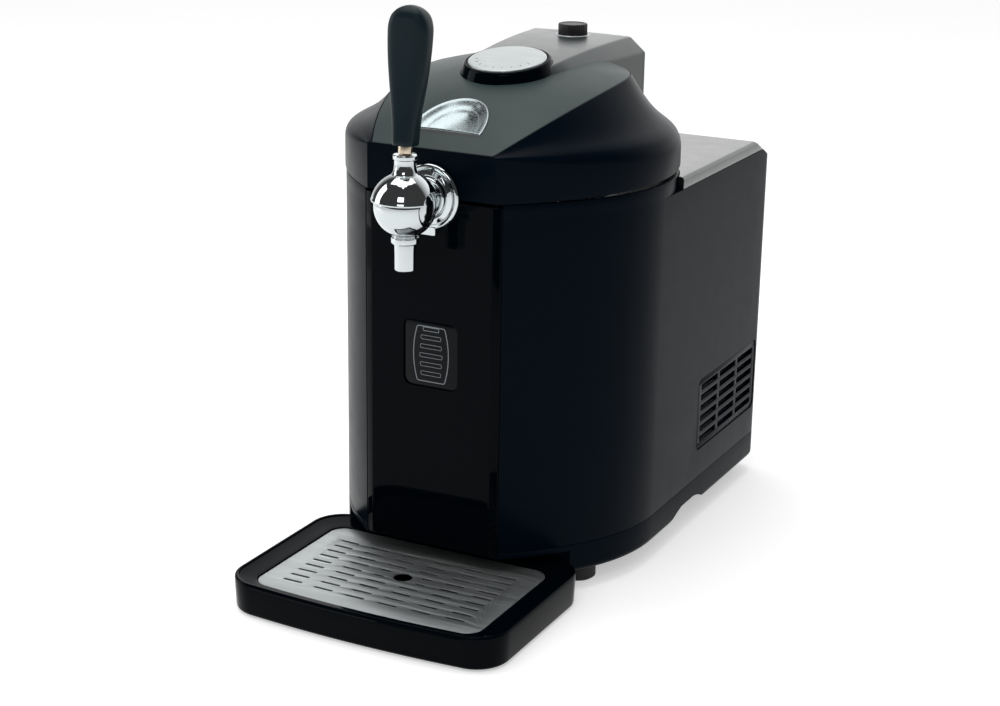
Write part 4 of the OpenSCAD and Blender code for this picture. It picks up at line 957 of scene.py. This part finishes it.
def make_dial():
    collar = lathe("collar", mm([(0, -14), (34, -14), (38.5, -12), (38.2, -9.5), (36.6, -5.5),
        (34.8, -1.2), (33.6, 0.25),
                                 (32.2, 0.25), (31.9, -2.2), (5.2, -2.2), (5.2, -9.2), (0, -9.2)]),
                   DISC_AT, edge=0.5 * MM, segments=128, turn=DISC_TURN, sharp=50)
    piece(collar, "lid", "panel_gloss", "disc_collar")
    disc = lathe("disc", mm([(0, -9), (5, -9), (5, -1.6), (30.2, -1.6), (31.2, -0.9), (31.2, 0.5),
        (30.4, 1.25), (20, 1.6), (0, 1.75)]),
                 DISC_AT, edge=0.4 * MM, segments=128, turn=DISC_TURN, sharp=50)
    piece(disc, "dial", "brushed", "dial_disc")
    for i in range(9):
        a = radians(200 + i * 17.5)
        c, s = cos(a), sin(a)
        tick = solid_box(f"dial_tick_{i}", (-0.25 * MM, -1.1 * MM, 1.35 * MM),
            (0.25 * MM, 1.1 * MM, 1.62 * MM))
        tick.data.transform(Matrix.Translation(DISC_AT) @ DISC_TURN.to_4x4()
                            @ Matrix.Translation((c * 24 * MM, s * 24 * MM,
                                0)) @ Matrix.Rotation(a - pi / 2, 4, "Z"))
        piece(tick, "dial", "fan_black")
        tick.data.materials[0] = MARK_GREY
    knob_z = SPINE_Z + 0.4 * MM
    bm = bmesh.new()
    rows = []
    for h, k in ((0, 0.985), (0.35, 1.0), (8.2, 1.0), (8.9, 0.985), (9.3, 0.95), (9.3, 0.80), (8.9, 0.77),
            (8.9, 0.0)):
        row = []
        for i in range(KNOB_STEPS):
            a = 2 * pi * i / KNOB_STEPS
            groove = 0.45 * (1 + cos(KNOB_GROOVES * a)) / 2 if k >= 0.95 else 0
            r = (KNOB_R * k - groove) * MM
            row.append(bm.verts.new((r * cos(a), KNOB_Y + r * sin(a), knob_z + h * MM)))
        rows.append(row)
    for a, b in zip(rows, rows[1:]):
        for i in range(KNOB_STEPS):
            j = (i + 1) % KNOB_STEPS
            bm.faces.new((a[i], a[j], b[j], b[i]))
    bm.faces.new(rows[0][::-1])
    bmesh.ops.remove_doubles(bm, verts=bm.verts, dist=1e-6)
    piece(from_bmesh(bm, "knob", 40), "gas_knob", "fan_black", "regulator_knob")
    collar = lathe("knob_ring", mm([(12.4, -1.2), (14.6, -1.2), (14.6, 0.5), (13.9, 0.9), (12.4, 0.9)]),
                   (0, KNOB_Y, SPINE_Z), edge=0.3 * MM)
    piece(collar, "lid", "brushed")


MARK_GREY = plastic("mark_grey", (0.09, 0.10, 0.10), 0.4)

# --- tap


def ball_profile(flat, rim):
    """Sphere cut flat on both sides, with a rounded rim and a sunk seat for the caps."""
    r = BALL_R / MM
    a0 = acos((flat + 0.5) / r)
    side = [(0, -flat + 1.6), (rim - 0.3, -flat + 1.6), (rim, -flat + 1.4), (rim, -flat + 0.2),
        (rim + 0.25, -flat)]
    edge_r = sqrt(r * r - flat * flat)
    side += [(edge_r - 0.9, -flat), (edge_r - 0.35, -flat + 0.12)]
    round_part = [(r * sin(a), -r * cos(a)) for a in np.linspace(a0, pi - a0, 60)]
    return mm(side + round_part + [(x, -z) for x, z in reversed(side)])


def make_tap():
    at = (0, TAP_Y, TAP_Z)
    ball = lathe("ball", ball_profile(18.4, 11.2), at, "x", edge=0.05 * MM, segments=128, sharp=38)
    slot = solid_box("slot", (-3.4 * MM, TAP_Y - 17 * MM, TAP_Z),
        (3.4 * MM, TAP_Y + 6 * MM, TAP_Z + 30 * MM))
    cut(ball, slot, sharp=38)
    piece(ball, "cabinet", "chrome", "tap_body")
    for s in (-1, 1):
        side = "left" if s < 0 else "right"
        cap = lathe("cap_" + side, [(r * MM, s * h * MM) for r, h in
                                    ((0, 16.8), (11.0, 16.8), (11.0, 18.1), (10.6, 18.5), (8, 19.3),
                                        (4, 19.9), (0, 20.1))],
                    at, "x", edge=0.5 * MM, sharp=50)
        if s < 0:
            piece(cap, "cabinet", "chrome", "tap_side_caps")
        else:
            piece(cap, "cabinet", "chrome")
    flange = lathe("flange", [(r * MM, -h * MM) for r, h in
                              ((11.05, 0), (25, 0), (25, 2.4), (24.3, 3.6), (23.2, 4.2), (21.4, 4.3),
                                  (20.6, 4.0), (16.8, 5.4),
                               (15.8, 8.6), (15.2, 9.4), (13.4, 9.8), (11.05, 9.8))],
                   (0, FRONT_Y - 0.6 * MM, TAP_Z), "y", edge=0.45 * MM, segments=128, sharp=50)
    foot = solid_box("foot", (-13 * MM, FRONT_Y - 0.7 * MM, TAP_Z - 20 * MM),
        (13 * MM, FRONT_Y, TAP_Z - 12.6 * MM))
    cut(flange, foot, operation="UNION", sharp=50)
    piece(flange, "cabinet", "chrome", "tap_flange")
    lug = loft("lug", [[(x, y, z) for x, z in rounded_rect(13 * MM, 6.4 * MM, 1.2 * MM, 3)]
                       for y in (FRONT_Y - 5.4 * MM, FRONT_Y)])
    lug.data.transform(Matrix.Translation((0, 0, TAP_Z - 25.8 * MM)))
    piece(bevel(lug, 0.5 * MM, 3), "cabinet", "chrome")
    shank = lathe("shank", mm([(5, 66), (11, 66), (11, 19.5), (12.4, 19.0), (12.4, 17.6), (11.4, 16.6),
        (5, 16.6)]),
                  (0, TAP_Y - 8 * MM, TAP_Z), "y", edge=0.3 * MM)
    hollow = lathe("hollow", [(0, -22.8 * MM)] + [(22.8 * MM * sin(a), -22.8 * MM * cos(a))
                                                  for a in np.linspace(0.1, pi - 0.1, 40)] + [(0,
                                                          22.8 * MM)],
                   at, "x", 0, 96)
    cut(shank, hollow, sharp=40)
    piece(shank, "cabinet", "chrome", "tap_shank")
    collar = lathe("spout_collar", mm([(6.2, 289.5), (9.4, 289.5), (10.3, 290.6), (10.3, 294.4),
        (9.1, 295.0), (9.1, 295.8),
                                       (10.6, 296.6), (11.6, 299.5), (6.2, 299.5)]), (0, TAP_Y, 0),
                                       edge=0.35 * MM, sharp=50)
    piece(collar, "cabinet", "chrome", "nozzle_collar")
    spout = lathe("spout", mm([(5.4, 269.5), (7.2, 269.5), (7.7, 270.1), (7.75, 283), (8.0, 289.5),
        (5.4, 289.5)]),
                  (0, TAP_Y, 0), edge=0.3 * MM, sharp=50)
    piece(spout, "cabinet", "chrome", "nozzle")


def make_dome():
    """Cap of the lever: a skirt over the ball that is cut away over the ball's flat sides."""
    outer = [(25.0, 321.9), (25.2, 322.8)] + [(26.4 * cos(a) - 0.9, 317.5 + 26.4 * sin(a))
                                              for a in np.linspace(0.26, 1.08, 14)]
    outer += [(10.4, 341.2), (9.2, 342.6), (8.4, 345), (8.0, 348.5), (8.0, 352.0), (8.9, 352.6),
        (9.0, 355.2), (8.3, 356), (0, 356)]
    inner = [(0, 341.1)] + [(23.6 * cos(a), 317.5 + 23.6 * sin(a)) for a in np.linspace(1.45, 0.2, 20)]
    dome = lathe("dome", mm(inner + [(24.2, 321.5)] + outer), (0, TAP_Y, 0), edge=0.3 * MM, segments=160,
        sharp=45)
    sides = []
    for s in (-1, 1):
        sides.append(lathe("side", [(0, s * 15 * MM), (12.9 * MM, s * 15 * MM), (12.9 * MM, s * 40 * MM),
            (0, s * 40 * MM)],
                           (0, TAP_Y, TAP_Z), "x", 0, 128))
    tongue = solid_box("tongue", (-3 * MM, TAP_Y - 3.4 * MM, TAP_Z - 3 * MM),
        (3 * MM, TAP_Y + 3.4 * MM, TAP_Z + 25 * MM))
    hub = lathe("hub", [(0, -3 * MM), (5.2 * MM, -3 * MM), (5.2 * MM, 3 * MM), (0, 3 * MM)],
        (0, TAP_Y, TAP_Z), "x", 0, 48)
    shank = lathe("shank_way", [(0, 0), (11.6 * MM, 0), (11.6 * MM, 40 * MM), (0, 40 * MM)],
        (0, TAP_Y, TAP_Z), "y", 0, 72)
    cut(dome, *sides, shank, sharp=45)
    cut(dome, tongue, hub, operation="UNION", sharp=45)
    piece(dome, "lever", "chrome", "lever_dome")


LEAN = Matrix.Translation((0, TAP_Y, 356 * MM)) @ Matrix.Rotation(radians(-5), 4, "X")
GRIP_H = 100 * MM


def grip_ring(f, count=64):
    k = sin(min(f, 0.78) / 0.78 * pi / 2) ** 1.6
    cap = 1.0 if f < 0.80 else sqrt(max(0.0, 1 - ((f - 0.80) / 0.20) ** 2.3))
    foot = 0.93 + 0.07 * min(1.0, f / 0.02)
    w = (8.4 + 8.2 * k) * MM * cap * foot
    d = (9.6 - 2.4 * sin(f * pi) + 1.2 * f) * MM * min(1.0, cap * 1.25) * foot
    ring = []
    for i in range(count):
        a = 2 * pi * i / count
        c, s = cos(a), sin(a)
        ring.append((w * copysign(abs(c) ** 0.58, c), d * copysign(abs(s) ** 0.58, s),
            6.4 * MM + GRIP_H * f))
    return ring


def make_handle():
    fs = [0, 0.004, 0.012, 0.02] + [0.04 + 0.74 * i / 22 for i in range(23)]
    fs += [0.78 + 0.2195 * sin(i * pi / 2 / 16) for i in range(1, 17)]
    grip = loft("grip", [[LEAN @ Vector(p) for p in grip_ring(f)] for f in fs], sharp=60)
    piece(grip, "lever", "handle_black", "handle")
    stud = lathe("stud", mm([(0, -10), (3, -10), (3, 0.7), (5.2, 0.7), (5.2, 6.3), (3, 6.3), (3, 18),
        (0, 18)]), edge=0.15 * MM, segments=48)
    stud.data.transform(LEAN)
    piece(stud, "lever", "brass_tint", "handle_stud")


# --- drip tray

TRAY_W, TRAY_FRONT, TRAY_BACK, TRAY_R = 117.5 * MM, -252.5 * MM, -88 * MM, 28 * MM
PLATE_W, PLATE_FRONT, PLATE_BACK, PLATE_R = 96.5 * MM, -240.5 * MM, -111 * MM, 13 * MM
PLATE_Z = 24.6 * MM
PLATE_COLUMNS, PLATE_ROWS = 6, 9


def bow(x):
    return 4.8 * MM * (x / (100 * MM)) ** 2


def bowed(w, front, back, r):
    """Outline with a bowed front edge and round corners."""
    x0 = w - r
    side = [(x0 * i / 14, front + bow(x0 * i / 14)) for i in range(15)]
    side += arc(x0, front + bow(x0) + r, r, radians(-83), 0, 14)
    side += arc(x0, back - r, r, 0, pi / 2, 14)
    return side + [(-x, y) for x, y in reversed(side[1:])]


def tray_ring(t, z):
    return at_z(bowed(TRAY_W - t * MM, TRAY_FRONT + t * MM, TRAY_BACK - t * MM, TRAY_R - t * MM), z * MM)


def basin_ring(g, z):
    return at_z(bowed(PLATE_W + g * MM, PLATE_FRONT - g * MM, PLATE_BACK + g * MM, PLATE_R + g * MM),
        z * MM)


def make_tray():
    rings = [tray_ring(t, z) for t, z in ((4.2, 1.2), (2.6, 1.5), (1.3, 2.6), (0.75, 4.2), (0.05, 22),
        (0, 25.4), (0.12, 26.6),
                                          (0.5, 27.4), (1.1, 27.75), (1.8, 27.8), (2.6, 27.7), (3.2, 27.3),
                                          (3.5, 26.7))]
    rings += [basin_ring(g, z) for g, z in ((14.0, 25.9), (6.0, 25.4), (2.0, 25.15), (1.1, 25.0),
        (0.7, 24.6), (0.6, 23.4),
                                            (-4.5, 23.4), (-4.9, 22.8), (-7, 6.5), (-8.5, 5.2), (-11, 5))]
    tray = loft("tray", rings, sharp=40)
    tongues = [solid_box("tongue", (s * 70 * MM - 12 * MM, TRAY_BACK - 4 * MM, BASE_Z + WALL + 0.5 * MM),
                         (s * 70 * MM + 12 * MM, -80 * MM, BASE_Z + WALL + 4.5 * MM)) for s in (-1, 1)]
    cut(tray, *tongues, operation="UNION", sharp=40)
    piece(tray, "tray", "panel_gloss", "drip_tray")


def make_plate():
    loops = [bowed(PLATE_W, PLATE_FRONT, PLATE_BACK, PLATE_R)]
    pitch_x, pitch_y, first, hole_row = 28.3 * MM, 10.78 * MM, -221.5 * MM, 4.5
    for c in range(PLATE_COLUMNS):
        for r in range(PLATE_ROWS):
            x = (c - 2.5) * pitch_x
            near = abs(x) < pitch_x and abs(r - hole_row) < 1
            w = (9 if near else 16.6) * MM
            cx = x + (copysign(3.8 * MM, x) if near else 0)
            cy = first + r * pitch_y + bow(x) * (1 - 0.7 * r / (PLATE_ROWS - 1))
            loops.append([(cx + a, cy + b) for a, b in rounded_rect(w, 2.3 * MM, 0.9 * MM, 3)])
    loops.append([(x, first + hole_row * pitch_y + y) for x, y in arc(0, 0, 7.4 * MM, 0, 2 * pi, 48)[:-1]])
    steel = plate("drain_plate", loops, 1.2 * MM, 0.3 * MM, facing(0, 0, PLATE_Z - 0.6 * MM, "up"))
    piece(steel, "plate", "brushed", "grille_plate")


# --- everything else keeps its solid


def smoothed(obj, angle=30):
    """Joins the facets of a carried-over solid and smooths its curved faces."""
    if "join" not in bpy.data.node_groups:
        group = bpy.data.node_groups.new("join", "GeometryNodeTree")
        group.interface.new_socket("Geometry", in_out="INPUT", socket_type="NodeSocketGeometry")
        group.interface.new_socket("Geometry", in_out="OUTPUT", socket_type="NodeSocketGeometry")
        source, sink = group.nodes.new("NodeGroupInput"), group.nodes.new("NodeGroupOutput")
        merge = group.nodes.new("GeometryNodeMergeByDistance")
        put(merge, "Distance", 1e-6)
        faces = group.nodes.new("GeometryNodeSetShadeSmooth")
        edges = group.nodes.new("GeometryNodeSetShadeSmooth")
        edges.domain = "EDGE"
        put(edges, "Shade Smooth", False)
        bend = group.nodes.new("GeometryNodeInputMeshEdgeAngle")
        above = group.nodes.new("FunctionNodeCompare")
        put(above, "B", radians(angle))
        group.links.new(source.outputs[0], merge.inputs["Geometry"])
        group.links.new(merge.outputs["Geometry"], faces.inputs["Geometry"])
        group.links.new(faces.outputs["Geometry"], edges.inputs["Geometry"])
        group.links.new(bend.outputs["Unsigned Angle"], above.inputs["A"])
        group.links.new(above.outputs["Result"], edges.inputs["Selection"])
        group.links.new(edges.outputs["Geometry"], sink.inputs[0])
    mod = obj.modifiers.new("join", "NODES")
    mod.node_group = bpy.data.node_groups["join"]


def dress_solids():
    for row in frame["record"]["subparts"]:
        obj = nodes[row["node"]]
        if obj.hide_render:
            continue
        slot = row["material_slot"]
        for i in range(max(1, len(obj.data.materials))):
            if i < len(obj.data.materials):
                obj.data.materials[i] = LOOKS[slot]
            else:
                obj.data.materials.append(LOOKS[slot])
        smoothed(obj)


make_shell()
make_cover()
make_vents()
make_base()
make_panel()
make_window()
make_lid()
make_visor()
make_scoop()
make_spine()
make_dial()
make_tap()
make_dome()
make_handle()
make_tray()
make_plate()
dress_solids()

scene.view_settings.view_transform = "Standard"
